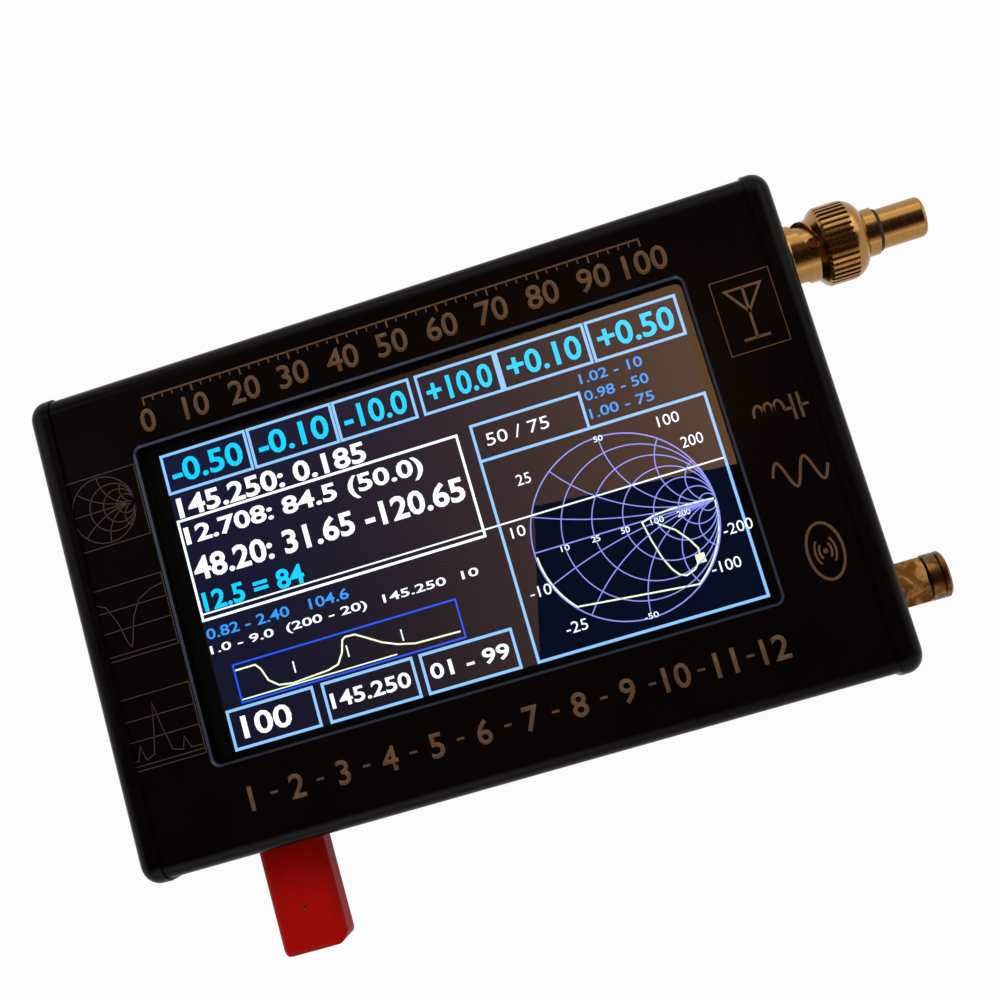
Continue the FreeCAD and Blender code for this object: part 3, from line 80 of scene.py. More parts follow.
def add(tree, kind, **settings):
    """A node of that kind, with its properties and unlinked inputs set."""
    node = tree.nodes.new(kind)
    for key, value in settings.items():
        if hasattr(node, key):
            setattr(node, key, value)
        else:
            node.inputs[key.replace("_", " ")].default_value = value
    return node


def maths(tree, operation, first, second=None, clamp=False):
    """A maths node over two sockets or numbers; returns its output."""
    node = tree.nodes.new("ShaderNodeMath")
    node.operation = operation
    node.use_clamp = clamp
    for index, value in enumerate((first, second)):
        if value is None:
            continue
        if isinstance(value, (int, float)):
            node.inputs[index].default_value = value
        else:
            tree.links.new(value, node.inputs[index])
    return node.outputs[0]


print("helpers start_group, add and maths are ready")

# %% [markdown]
# ## Fine grain
# Blasting and moulding leave a skin of tiny even pits. It could be a painted picture, but a noise
# needs none and holds at any distance. Two noises are multiplied: a fine one for the pits and a
# broad one, so that no two places look quite alike.

# %% Grain
def grain_group():
    """Fine even grain: a height for the bump and a mask for colour and gloss."""
    group, given, result = start_group("grain", [("Scale", 6000.0), ("Spread", 1.0)],
                                       [("Height", "NodeSocketFloat"), ("Mask", "NodeSocketFloat")])
    place = add(group, "ShaderNodeTexCoord")
    fine = add(group, "ShaderNodeTexNoise", Detail=2.0, Roughness=0.6)
    broad = add(group, "ShaderNodeTexNoise", Scale=90.0, Detail=3.0, Roughness=0.55)
    group.links.new(place.outputs["Object"], fine.inputs["Vector"])
    group.links.new(place.outputs["Object"], broad.inputs["Vector"])
    group.links.new(given.outputs["Scale"], fine.inputs["Scale"])
    both = maths(group, "MULTIPLY", fine.outputs[0], broad.outputs[0])
    wide = maths(group, "MULTIPLY", both, given.outputs["Spread"])
    group.links.new(fine.outputs[0], result.inputs["Height"])
    group.links.new(maths(group, "MULTIPLY", wide, 2.5, clamp=True), result.inputs["Mask"])
    return group


GRAIN = grain_group()
print("grain group", len(GRAIN.nodes), "nodes")


# %% [markdown]
# ## Turned rings
# A lathe tool leaves fine rings round a turned part. They could be cut into the mesh, but they are
# finer than any mesh here. All turned parts of this instrument lie along X, so a noise that depends
# on X alone draws rings round each of them.

# %% Turned rings
def rings_group():
    """Rings of a lathe tool round a line along X: height and mask, uneven along the way."""
    group, given, result = start_group("turned_rings", [("Rings_per_metre", 9000.0)],
                                       [("Height", "NodeSocketFloat"), ("Mask", "NodeSocketFloat")])
    place = add(group, "ShaderNodeTexCoord")
    parts = add(group, "ShaderNodeSeparateXYZ")
    group.links.new(place.outputs["Object"], parts.inputs[0])
    along = maths(group, "MULTIPLY", parts.outputs[0], given.outputs["Rings_per_metre"])
    wander = add(group, "ShaderNodeTexNoise", noise_dimensions="1D", Scale=1.0, Detail=3.0, Roughness=0.7)
    group.links.new(along, wander.inputs["W"])
    group.links.new(wander.outputs[0], result.inputs["Height"])
    mask = maths(group, "SUBTRACT", wander.outputs[0], 0.35)
    group.links.new(maths(group, "MULTIPLY", mask, 2.6, clamp=True), result.inputs["Mask"])
    return group


RINGS = rings_group()
print("rings group", len(RINGS.nodes), "nodes")


# %% [markdown]
# ## Smudges
# Handled glass and brass carry broad soft patches. A plain cloud would look like fog, so the noise
# is bent a little, which makes it look wiped, and a ramp leaves clean places in between.

# %% Smudges
def smudge_group():
    """Broad soft smudges left by fingers, from 0 where clean to 1."""
    group, given, result = start_group("smudges", [("Scale", 60.0)], [("Mask", "NodeSocketFloat")])
    place = add(group, "ShaderNodeTexCoord")
    cloud = add(group, "ShaderNodeTexNoise", Detail=4.0, Roughness=0.62, Distortion=0.9)
    group.links.new(place.outputs["Object"], cloud.inputs["Vector"])
    group.links.new(given.outputs["Scale"], cloud.inputs["Scale"])
    ramp = add(group, "ShaderNodeMapRange", From_Min=0.45, From_Max=0.72)
    group.links.new(cloud.outputs[0], ramp.inputs["Value"])
    group.links.new(ramp.outputs[0], result.inputs["Mask"])
    return group


SMUDGES = smudge_group()
print("smudge group", len(SMUDGES.nodes), "nodes")


# %% [markdown]
# ## Building a material
# Most finishes here share one recipe: a colour that drifts a little between two near tones, a gloss
# that drifts with it, and a very low bump. One helper wires that up from whichever effect group
# suits the metal or plastic, and sets the steady values on the shader's own sockets.

# %% Material helper
def finish(name, dark, light, gloss, group, bump=0.1, metallic=0.0, depth=0.00002, values=None,
           settings=None):
    """A Principled material whose colour runs from dark to light and roughness from gloss[0] to [1]."""
    material = bpy.data.materials.new(name)
    material.use_nodes = True
    tree = material.node_tree
    tree.nodes.clear()
    shader = add(tree, "ShaderNodeBsdfPrincipled")
    shader.inputs["Metallic"].default_value = metallic
    for label, value in (settings or {}).items():
        shader.inputs[label].default_value = value
    effect = add(tree, "ShaderNodeGroup", node_tree=group)
    for label, value in (values or {}).items():
        effect.inputs[label].default_value = value
    tones = add(tree, "ShaderNodeMix", data_type="RGBA")
    tones.inputs[6].default_value = (*dark, 1.0)
    tones.inputs[7].default_value = (*light, 1.0)
    tree.links.new(effect.outputs["Mask"], tones.inputs[0])
    tree.links.new(tones.outputs[2], shader.inputs["Base Color"])
    shine = add(tree, "ShaderNodeMapRange", To_Min=gloss[0], To_Max=gloss[1])
    tree.links.new(effect.outputs["Mask"], shine.inputs["Value"])
    tree.links.new(shine.outputs[0], shader.inputs["Roughness"])
    if "Height" in effect.outputs:
        relief = add(tree, "ShaderNodeBump", Strength=bump, Distance=depth)
        tree.links.new(effect.outputs["Height"], relief.inputs["Height"])
        tree.links.new(relief.outputs[0], shader.inputs["Normal"])
    output = add(tree, "ShaderNodeOutputMaterial")
    tree.links.new(shader.outputs[0], output.inputs["Surface"])
    return material


def dress(material, *names):
    """Give the nodes of those names this material."""
    for name in names:
        mesh = nodes[name].data
        mesh.materials.clear()
        mesh.materials.append(material)
        for polygon in mesh.polygons:
            polygon.material_index = 0
    print(material.name, "on", len(names), "pieces")


def shader_of(material):
    """The Principled shader of a material."""
    return next(node for node in material.node_tree.nodes if node.type == "BSDF_PRINCIPLED")


print("helpers finish, dress and shader_of are ready")

# %% [markdown]
# ## The window's bevel
# Where the screen window was milled, its narrow bevel is glossy metal that catches the lamps. Its
# steel-blue tint is painted highlight: the blue glow of the screen mirrored in the bevel. It is part
# of the shell's mesh. Its faces could be picked out by number, but numbers change with the mesh, so a
# mask finds it by place: near the window's edge, and on a face that leans inwards.

# %% Window mask
def bevel_group():
    """1 on the bevel round the screen window, where blue highlight is painted, 0 elsewhere."""
    group, given, result = start_group("bevel_blue_highlight", [("Centre_X", 0.0), ("Centre_Y", 0.0), ("Half_X", 1.0),
                                                      ("Half_Y", 1.0), ("Lowest", 0.0)],
                                       [("Mask", "NodeSocketFloat")])
    place = add(group, "ShaderNodeTexCoord")
    spot = add(group, "ShaderNodeSeparateXYZ")
    lean = add(group, "ShaderNodeSeparateXYZ")
    group.links.new(place.outputs["Object"], spot.inputs[0])
    group.links.new(place.outputs["Normal"], lean.inputs[0])
    not_flat = maths(group, "LESS_THAN", lean.outputs[2], 0.95)
    not_upright = maths(group, "GREATER_THAN", lean.outputs[2], 0.3)
    high_enough = maths(group, "GREATER_THAN", spot.outputs[2], given.outputs["Lowest"])
    mask = maths(group, "MULTIPLY", maths(group, "MULTIPLY", not_flat, not_upright), high_enough)
    for axis in (0, 1):
        away = maths(group, "SUBTRACT", spot.outputs[axis], given.outputs[axis])
        away = maths(group, "ABSOLUTE", away)
        mask = maths(group, "MULTIPLY", mask, maths(group, "LESS_THAN", away, given.outputs[axis + 2]))
    group.links.new(mask, result.inputs["Mask"])
    return group


BEVEL = bevel_group()
print("bevel group", len(BEVEL.nodes), "nodes")

# %% [markdown]
# ## The anodised case
# The case is blasted aluminium, dyed black. Its near-black colour carries a warm brown cast, which is
# painted sheen: warm light that the face gives back. Dye takes almost all of the metal's light and
# leaves a weak sheen. A metal shader would mirror too much of the room, so this is a nearly black one
# with weak gloss, whose tone and bump follow the grain. On the bevel a glossy steel-blue metal is
# mixed in, and its blue is painted highlight.

# %% Case finish
# Near blacks for the case; their warm brown cast is painted sheen.
CASE_DARK = (0.0016, 0.0010, 0.0006)
CASE_LIGHT = (0.0048, 0.0030, 0.0018)
# Steel blue of the window's bevel: painted highlight, the blue glow of the screen mirrored there.
BEVEL_PAINTED_BLUE_HIGHLIGHT = (0.030, 0.036, 0.058, 1.0)
WINDOW = {"Centre_X": -0.6 * MM, "Centre_Y": 1.35 * MM, "Half_X": 50.6 * MM, "Half_Y": 29.2 * MM,
          "Lowest": FACE_Z - 0.6 * MM}
anodised = finish("black_anodised", CASE_DARK, CASE_LIGHT, (0.20, 0.30), GRAIN, bump=0.15,
                  values={"Scale": 9000.0}, settings={"Specular IOR Level": 0.06})


def bevel_blue_highlight(material):
    """Mix glossy steel-blue metal into the case finish on the window's bevel; the blue is painted highlight.
    """
    tree = material.node_tree
    shader = shader_of(material)
    where = add(tree, "ShaderNodeGroup", node_tree=BEVEL)
    for label, value in WINDOW.items():
        where.inputs[label].default_value = value
    for label, bright in (("Base Color", BEVEL_PAINTED_BLUE_HIGHLIGHT), ("Metallic", 1.0), ("Roughness", 0.28)):
        socket = shader.inputs[label]
        if label == "Base Color":
            mix = add(tree, "ShaderNodeMix", data_type="RGBA")
            first, second, out = mix.inputs[6], mix.inputs[7], mix.outputs[2]
        else:
            mix = add(tree, "ShaderNodeMix", data_type="FLOAT")
            first, second, out = mix.inputs[2], mix.inputs[3], mix.outputs[0]
        tree.links.new(where.outputs[0], mix.inputs[0])
        if socket.is_linked:
            tree.links.new(socket.links[0].from_socket, first)
        else:
            first.default_value = socket.default_value
        second.default_value = bright
        tree.links.new(out, socket)


bevel_blue_highlight(anodised)
dress(anodised, "upper_shell", "lower_shell", "left_bezel", "right_bezel", "left_end_plate",
      "right_end_plate")

# %% [markdown]
# ## Plated brass
# The ports and the plug are turned brass with a warm plating. One even metal would look like a
# drawing, so the ring group drives tone, gloss and bump, brighter where the rings are polished. The
# load is blotchy from handling, so there the smudge group mixes dull and bright brass instead.

# %% Connector finishes
BRASS_DARK = (0.25, 0.120, 0.032)
BRASS_LIGHT = (0.50, 0.290, 0.100)
brass = finish("plated_brass", BRASS_DARK, BRASS_LIGHT, (0.16, 0.30), RINGS, bump=0.25, metallic=1.0)
dress(brass, "upper_jack_shell", "upper_jack_washer", "upper_jack_nut", "coupling_nut", "plug_body",
      "crimp_ferrule", "lower_jack_shell", "lower_jack_washer", "lower_jack_nut")
aged = finish("aged_brass", (0.085, 0.034, 0.008), (0.27, 0.140, 0.045), (0.36, 0.26), SMUDGES, metallic=1.0,
              values={"Scale": 330.0})
dress(aged, "load_nut", "load_body")
gold = finish("gold_contact", (0.75, 0.52, 0.18), (0.95, 0.72, 0.32), (0.12, 0.22), RINGS, bump=0.1,
              metallic=1.0)
dress(gold, "upper_jack_contact", "plug_pin", "lower_jack_contact", "load_pin")
white = finish("white_insulator", (0.72, 0.71, 0.66), (0.84, 0.83, 0.79), (0.38, 0.5), GRAIN, bump=0.1)
dress(white, "upper_jack_insulator", "plug_insulator", "lower_jack_insulator", "load_insulator")

# %% [markdown]
# ## Red moulded plug
# The grip is deep red plastic with a satin skin. A strong gloss would turn its sides pink from the
# white paper, so the shine is weak. A thin coat gives a faint highlight along the edges, and a
# slight grain under it stands for the moulding. The metal shell and the sockets are tinned steel.

# %% Plug and socket finishes
red = finish("red_plastic", (0.56, 0.005, 0.003), (0.70, 0.009, 0.006), (0.36, 0.46), GRAIN, bump=0.12,
             values={"Scale": 2500.0},
             settings={"Specular IOR Level": 0.03, "Coat Weight": 0.04, "Coat Roughness": 0.2})
dress(red, "usb_plug_grip")
tinned = finish("tinned_steel", (0.50, 0.50, 0.48), (0.68, 0.68, 0.66), (0.2, 0.34), GRAIN, bump=0.08,
                metallic=1.0, values={"Scale": 1500.0})
dress(tinned, "usb_plug_shell", "usb_socket", "card_socket", "shield_can")
blue = finish("blue_plastic", (0.02, 0.08, 0.35), (0.03, 0.12, 0.45), (0.4, 0.5), GRAIN)
dress(blue, "usb_tongue")

# %% [markdown]
# ## Small dark parts
# Screws, switch, card and rubber are all dark. One black would do from afar, but they shine
# differently: oxide-black steel, matt rubber and satin plastic, so each has its own gloss.

# %% Dark finishes
oxide = finish("black_screw", (0.006, 0.006, 0.006), (0.022, 0.021, 0.020), (0.28, 0.40), GRAIN, bump=0.1,
               metallic=0.8, values={"Scale": 3000.0})
dress(oxide, "left_bezel_screws", "right_bezel_screws")
rubber = finish("black_rubber", (0.010, 0.009, 0.009), (0.028, 0.026, 0.025), (0.6, 0.75), GRAIN, bump=0.3,
                values={"Scale": 3500.0})
dress(rubber, "plug_seal_ring", "window_gasket", "display_foam_pads", "battery_foam")
plastic = finish("black_plastic", (0.010, 0.010, 0.010), (0.024, 0.024, 0.024), (0.42, 0.55), GRAIN,
                 bump=0.2, values={"Scale": 2500.0})
dress(plastic, "power_switch_body", "power_switch_knob", "memory_card", "usb_plug_insert",
      "header_strips", "main_board_chips")

# %% [markdown]
# ## What is inside
# Boards, battery, light guide and screws show only through gaps. They could share one grey, yet each
# gets its own finish, so that the instrument also holds up when it is taken apart.

# %% Inside finishes
steel = finish("steel", (0.42, 0.42, 0.41), (0.60, 0.60, 0.58), (0.24, 0.38), GRAIN, bump=0.1,
               metallic=1.0, values={"Scale": 4000.0})
dress(steel, "plug_spring_washer", "display_frame", "board_spacers", "upper_board_screws",
      "lower_board_screws")
mask_green = finish("board", (0.006, 0.045, 0.022), (0.012, 0.075, 0.038), (0.28, 0.42), GRAIN, bump=0.1,
                    values={"Scale": 1200.0})
dress(mask_green, "main_board", "radio_board")
foil = finish("battery_foil", (0.42, 0.43, 0.45), (0.58, 0.59, 0.61), (0.3, 0.45), GRAIN, bump=0.3,
              metallic=0.6, values={"Scale": 700.0})
dress(foil, "battery_pack")
guide = finish("light_guide", (0.75, 0.77, 0.78), (0.88, 0.90, 0.92), (0.2, 0.3), GRAIN)
dress(guide, "backlight")
panel_dark = finish("display_panel", (0.004, 0.004, 0.006), (0.008, 0.008, 0.011), (0.25, 0.35), GRAIN,
                    settings={"Coat Weight": 0.3})
dress(panel_dark, "display_panel")


# %% [markdown]
# ## The touch glass
# The cover glass is clear and slightly grey. A see-through mix of two shaders would be faster, but
# real refraction shows the depth of the picture under it. Fingers leave smudges that mainly change
# its gloss, so the smudge group drives the roughness, and the tint hardly at all.

# %% Glass finish
glass = finish("touch_glass", (0.86, 0.87, 0.88), (0.90, 0.91, 0.92), (0.0, 0.035), SMUDGES,
               values={"Scale": 45.0}, settings={"Transmission Weight": 1.0, "IOR": 1.5})
dress(glass, "touch_glass")

# %% [markdown]
# ## Drawing thin lines
# The marks and the picture are flat lines of even width. Curve objects could draw them, but a hundred
# of them are slow to handle. Here a line is a strip of faces: two rows of points left and right of
# the path, set at each corner on the corner's bisector. All lines of one kind share one mesh, which
# is given a hair of thickness.

# %% Line helper
def strip(bm, points, width, z, closed=False):
    """Add a flat line of that width through points (x, y), all in millimetres."""
    path = [Vector(point) for point in points]
    count = len(path)
    rows = []
    for index, here in enumerate(path):
        before = path[index - 1] if index or closed else None
        after = path[(index + 1) % count] if index < count - 1 or closed else None
        way_in = (here - before).normalized() if before is not None else None
        way_out = (after - here).normalized() if after is not None else None
        way_in = way_in if way_in is not None else way_out
        way_out = way_out if way_out is not None else way_in
        bisector = (way_in + way_out)
        bisector = bisector.normalized() if bisector.length > 1e-6 else way_in
        reach = width / 2 / max(0.5, bisector.dot(way_in))
        side = Vector((-bisector.y, bisector.x)) * reach
        rows.append([bm.verts.new(((here + s * side).x * MM, (here + s * side).y * MM, z))
                     for s in (1, -1)])
    spans = range(count if closed else count - 1)
    for index in spans:
        a, b = rows[index], rows[(index + 1) % count]
        bm.faces.new((a[0], a[1], b[1], b[0]))


def lay(name, bm, material, thickness=0.03 * MM):
    """Turn the strips in bm into a thin piece that rides on the case."""
    mesh = bpy.data.meshes.new(name)
    bm.to_mesh(mesh)
    bm.free()
    mesh.materials.append(material)
    piece = bpy.data.objects.new(name, mesh)
    bpy.context.scene.collection.objects.link(piece)
    solid = piece.modifiers.new("thickness", "SOLIDIFY")
    solid.thickness = thickness
    solid.offset = 1.0
    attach(piece, "case")
    print(name, len(mesh.polygons), "faces")
    return piece


print("helpers strip and lay are ready")

# %% [markdown]
# ## Numbers
# Scales and screens carry numbers. They could be drawn stroke by stroke, but the typeface built into
# Blender already has them, so the text is turned into a mesh and fitted into place. On the screen a
# number fills a given span. On the case it keeps its own width round one place.

# %% Number helper
def number(bm, text, x, y, z, bold=0.0):
    """Add the text over the span y, fitted to the span x or, for one x, of its own width there."""
    curve = bpy.data.curves.new("number", "FONT")
    curve.body = text
    curve.offset = bold
    curve.resolution_u = 3
    letter = bpy.data.objects.new("number", curve)
    mesh = bpy.data.meshes.new_from_object(letter)
    low = [min(v.co[i] for v in mesh.vertices) for i in (0, 1)]
    high = [max(v.co[i] for v in mesh.vertices) for i in (0, 1)]
    if isinstance(x, (int, float)):
        half = (high[0] - low[0]) / (high[1] - low[1]) * (y[1] - y[0]) / 2
        x = (x - half, x + half)
    for vert in mesh.vertices:
        u = (vert.co[0] - low[0]) / (high[0] - low[0])
        v = (vert.co[1] - low[1]) / (high[1] - low[1])
        vert.co = ((x[0] + u * (x[1] - x[0])) * MM, (y[0] + v * (y[1] - y[0])) * MM, z)
    bm.from_mesh(mesh)
    bpy.data.objects.remove(letter)
    bpy.data.meshes.remove(mesh)
    bpy.data.curves.remove(curve)


print("helper number is ready")

# %% [markdown]
# ## Oblongs and arcs
# Frames and round signs are wanted over and over. Two small functions give their points, so that a
# frame is named by its spans and an arc by its centre and reach.

# %% Shape helpers
def oblong(x, y):
    """Corners of an upright oblong over the spans x and y."""
    return [(x[0], y[1]), (x[1], y[1]), (x[1], y[0]), (x[0], y[0])]


def arc(cx, cy, rx, ry, start, end, steps=24):
    """Points on an ellipse from start to end, in degrees."""
    angles = [math.radians(start + (end - start) * i / steps) for i in range(steps + 1)]
    return [(cx + rx * math.cos(a), cy + ry * math.sin(a)) for a in angles]


print("a frame has", len(oblong((0, 1), (0, 1))), "corners")

# %% [markdown]
# ## Marks burnt into the face
# A laser burns the dye away and leaves a dull copper colour, a little rough. The marks could be a
# mask in the case's own material, but thin strips laid on the face keep sharp edges from any
# distance. The drawings are burnt more lightly than the numbers, so there are two finishes.

# %% Mark finish
burnt = finish("laser_mark", (0.105, 0.048, 0.016), (0.20, 0.100, 0.038), (0.5, 0.65), GRAIN, bump=0.4,
               metallic=0.3, values={"Scale": 5000.0})
burnt_faint = finish("laser_mark_faint", (0.055, 0.034, 0.020), (0.10, 0.062, 0.036), (0.5, 0.65), GRAIN,
                     bump=0.4, metallic=0.3, values={"Scale": 5000.0})
MARK_Z = FACE_Z + 0.005 * MM
THIN = 0.16
print("marks lie at", round(MARK_Z, 6))


# %% [markdown]
# ## Curves of an impedance chart
# An impedance chart is a circle crossed by arcs. The arcs could be traced, but one formula gives
# them all: every impedance has one place in the circle, and a steady resistance or a steady
# reactance runs along one arc.

# %% Chart curves
def chart_points(resistance=None, reactance=None, steps=40):
    """A curve of the impedance chart in a unit circle, for a steady resistance or reactance."""
    points = []
    for i in range(steps + 1):
        t = i / steps
        if resistance is not None:
            angle = math.pi * (2 * t - 1) * 0.9999
            varied = math.tan(angle / 2)
            z = complex(resistance, varied * (1 + resistance))
        else:
            z = complex(math.tan(t * math.pi / 2 * 0.985) * abs(reactance) * 1.5, reactance)
        g = (z - 1) / (z + 1)
        points.append((g.real, g.imag))
    return points


def placed(points, cx, cy, radius):
    """Unit points moved to a centre and a radius."""
    return [(cx + x * radius, cy + y * radius) for x, y in points]


print("a chart curve has", len(chart_points(resistance=1.0)), "points")

# %% [markdown]
# ## Three small drawings
# Left of the screen, three framed drawings show what the instrument can display: an impedance
# chart, a curve with one dip and a spectrum with peaks. They could be traced line by line, but the
# chart comes from its formula, and a few chosen points are enough for the two curves.

# %% Chart drawings
DRAWING_CHART = (-58.4, 21.1, 5.9)
bm = bmesh.new()
for low, high in ((14.75, 27.4), (-5.15, 7.6), (-24.5, -12.0)):
    strip(bm, oblong((-65.7, -51.2), (low, high)), THIN, MARK_Z, closed=True)
strip(bm, placed(arc(0, 0, 1, 1, 0, 360), *DRAWING_CHART), THIN, MARK_Z)
for value in (0.4, 1.0, 2.5):
    strip(bm, placed(chart_points(resistance=value), *DRAWING_CHART), THIN, MARK_Z)
    for sign in (-1, 1):
        strip(bm, placed(chart_points(reactance=sign * value), *DRAWING_CHART), THIN, MARK_Z)
strip(bm, [(-64.3, 21.1), (-52.5, 21.1)], THIN, MARK_Z)
for base in (-5.15, -24.5):
    top = base + 12.6
    strip(bm, [(-64.9, top - 0.2), (-64.9, base + 0.8), (-51.4, base + 0.8)], THIN, MARK_Z)
    for rise in (5.0, 8.6):
        strip(bm, [(-64.9, base + rise), (-51.4, base + rise)], THIN, MARK_Z)
dip = [(-64.9, 5.6), (-62.4, 4.4), (-60.9, 1.2), (-60.0, -2.6), (-59.5, -3.5), (-59.0, -2.4), (-57.9, 1.4),
       (-56.2, 4.2), (-53.6, 5.4), (-51.4, 5.8)]
strip(bm, dip, THIN, MARK_Z)
peaks = [(-64.9, -23.0), (-63.2, -22.8), (-62.4, -20.4), (-61.8, -22.9), (-60.2, -22.4), (-59.2, -18.0),
         (-58.5, -13.6), (-57.8, -18.0), (-56.8, -22.4), (-55.0, -22.9), (-54.3, -20.8), (-53.5, -22.9),
         (-51.4, -23.0)]
strip(bm, peaks, THIN, MARK_Z)
lay("face_drawings", bm, burnt_faint)

# %% [markdown]
# ## Number scales
# Above the screen runs a scale from 0 to 100 with small ticks, and below it run the numbers 1 to 12.
# Each number could be placed by hand, but a loop with one start and one step keeps the spacing even.

# %% Number scales
UPPER_START, UPPER_STEP, UPPER_LINE = -46.6, 9.1, 38.3
LOWER_START, LOWER_STEP = -45.6, 8.3
BOLD = 0.016
bm = bmesh.new()
for index in range(11):
    centre = UPPER_START + UPPER_STEP * index
    number(bm, str(10 * index), centre, (32.0, 36.3), MARK_Z, BOLD)
    strip(bm, [(centre, 36.9), (centre, UPPER_LINE)], 0.32, MARK_Z)
    if index < 10:
        for step in range(1, 5):
            tick = centre + UPPER_STEP * step / 5
            strip(bm, [(tick, 37.4), (tick, UPPER_LINE)], 0.22, MARK_Z)
strip(bm, [(-46.76, UPPER_LINE), (44.56, UPPER_LINE)], 0.3, MARK_Z)
for index in range(12):
    centre = LOWER_START + LOWER_STEP * index
    number(bm, str(index + 1), centre, (-36.2, -32.0), MARK_Z, BOLD)
    if index < 11:
        strip(bm, [(centre + 3.5, -34.1), (centre + 4.8, -34.1)], 0.4, MARK_Z)
lay("face_scales", bm, burnt)

# %% [markdown]
# ## Signs on the right
# Beside the ports stand four signs: an aerial in a frame, a coil with its plates, a wave and an oval
# with radio waves. A typeface has none of them, so they are made of a few strips and arcs, heavier
# than the drawings so that they read as well as the numbers.

# %% Signs on the right
bm = bmesh.new()
LINE = 0.46
strip(bm, oblong((53.4, 63.5), (14.0, 27.0)), THIN, MARK_Z, closed=True)
strip(bm, [(55.4, 24.9), (61.5, 24.9), (58.45, 20.6)], LINE, MARK_Z, closed=True)
strip(bm, [(58.45, 24.9), (58.45, 16.0)], LINE, MARK_Z)
strip(bm, [(56.2, 16.0), (60.7, 16.0)], LINE, MARK_Z)
for index in range(3):
    strip(bm, arc(54.7 + 1.7 * index, 3.0, 0.85, 1.9, 180, 0, 10), LINE, MARK_Z)
for side in (60.4, 61.6):
    strip(bm, [(side, 0.9), (side, 5.3)], LINE, MARK_Z)
strip(bm, [(58.95, 3.0), (60.4, 3.0)], LINE, MARK_Z)
strip(bm, [(61.6, 3.0), (63.0, 3.0)], LINE, MARK_Z)
wave = [(53.7 + 9.2 * i / 32, -7.45 + 2.3 * math.sin(4 * math.pi * i / 32)) for i in range(33)]
strip(bm, wave, LINE, MARK_Z)
strip(bm, arc(58.2, -21.2, 2.9, 4.75, 0, 360, 40), LINE, MARK_Z)
for reach in (1.0, 1.7):
    for middle in (0, 180):
        strip(bm, arc(58.2, -21.2, reach, reach * 1.5, middle - 50, middle + 50, 12), LINE * 0.8, MARK_Z)
strip(bm, arc(58.2, -21.2, 0.2, 0.2, 0, 360, 10), LINE, MARK_Z)
lay("face_signs", bm, burnt)

# %% [markdown]
# ## The lit picture
# A display's picture is many small square cells that light up just under the glass. Cells as
# geometry would be more than a hundred thousand faces, so the lines are plain and a small group draws
# the cells over them at the panel's real pitch. They show in a close view and melt from afar.

# %% Pixel group
PIXELS_PER_METRE = 480 / (95.04 * MM)


def pixel_group():
    """Brightness of the panel's square cells: full in the middle, darker on the grid between them."""
    group, given, result = start_group("pixel_cells", [("Per_metre", PIXELS_PER_METRE), ("Gap", 0.35)],
                                       [("Mask", "NodeSocketFloat")])
    place = add(group, "ShaderNodeTexCoord")
    spot = add(group, "ShaderNodeSeparateXYZ")
    group.links.new(place.outputs["Object"], spot.inputs[0])
    cell = 1.0
    for axis in (0, 1):
        along = maths(group, "MULTIPLY", spot.outputs[axis], given.outputs["Per_metre"])
        away = maths(group, "ABSOLUTE", maths(group, "SUBTRACT", maths(group, "FRACT", along), 0.5))
        edge = add(group, "ShaderNodeMapRange", From_Min=0.36, From_Max=0.5, To_Min=1.0, To_Max=0.0)
        group.links.new(away, edge.inputs["Value"])
        cell = maths(group, "MULTIPLY", edge.outputs[0], cell)
    floor = maths(group, "SUBTRACT", 1.0, given.outputs["Gap"])
    lit = maths(group, "MULTIPLY", cell, given.outputs["Gap"])
    group.links.new(maths(group, "ADD", lit, floor), result.inputs["Mask"])
    return group


PIXELS = pixel_group()
print("cells per millimetre", round(PIXELS_PER_METRE * MM, 3))


# %% [markdown]
# ## Glowing finishes
# Each colour of the picture is a black surface that gives off its colour through the cell mask. A
# lamp behind a coloured film would be nearer to a real panel, but it would render far more slowly
# and look the same from outside. Only the strength and the colour differ, so one function does.

# %% Glowing finishes
def glow(name, colour, strength, gap=0.35):
    """Black surface that glows in the panel's cells."""
    material = bpy.data.materials.new(name)
    material.use_nodes = True
    tree = material.node_tree
    tree.nodes.clear()
    shader = add(tree, "ShaderNodeBsdfPrincipled")
    shader.inputs["Base Color"].default_value = (0.003, 0.003, 0.004, 1.0)
    shader.inputs["Roughness"].default_value = 0.5
    shader.inputs["Specular IOR Level"].default_value = 0.0
    shader.inputs["Emission Strength"].default_value = strength
    cells = add(tree, "ShaderNodeGroup", node_tree=PIXELS)
    cells.inputs["Gap"].default_value = gap
    tones = add(tree, "ShaderNodeMix", data_type="RGBA")
    tones.inputs[6].default_value = (0.0, 0.0, 0.0, 1.0)
    tones.inputs[7].default_value = (*colour, 1.0)
    tree.links.new(cells.outputs[0], tones.inputs[0])
    tree.links.new(tones.outputs[2], shader.inputs["Emission Color"])
    output = add(tree, "ShaderNodeOutputMaterial")
    tree.links.new(shader.outputs[0], output.inputs["Surface"])
    return material


COLOURS = {
    "cyan": ((0.0, 0.56, 1.0), 1.5),
    "frame_blue": ((0.26, 0.56, 1.0), 1.35),
    "white": ((0.85, 0.95, 1.0), 1.6),
    "blue": ((0.01, 0.10, 1.0), 1.3),
    "sky": ((0.03, 0.33, 1.0), 1.3),
    "periwinkle": ((0.30, 0.34, 1.0), 1.2),
    "trace": ((0.84, 1.0, 0.66), 1.5),
}
glows = {name: glow("picture_" + name, colour, strength) for name, (colour, strength) in COLOURS.items()}
print("glowing colours", len(glows))

# %% [markdown]
# ## Layers under the glass
# A printed black border hides the panel's edge, and inside it the unlit panel still leaks a little
# blue light, most at the upper left. Both are thin plates just above the glass's lower face, inside
# the glass, because two faces at exactly one height would flicker.

# %% Border and background
LAYER_Z = PICTURE_Z + 0.05 * MM
LINES_Z = PICTURE_Z + 0.10 * MM


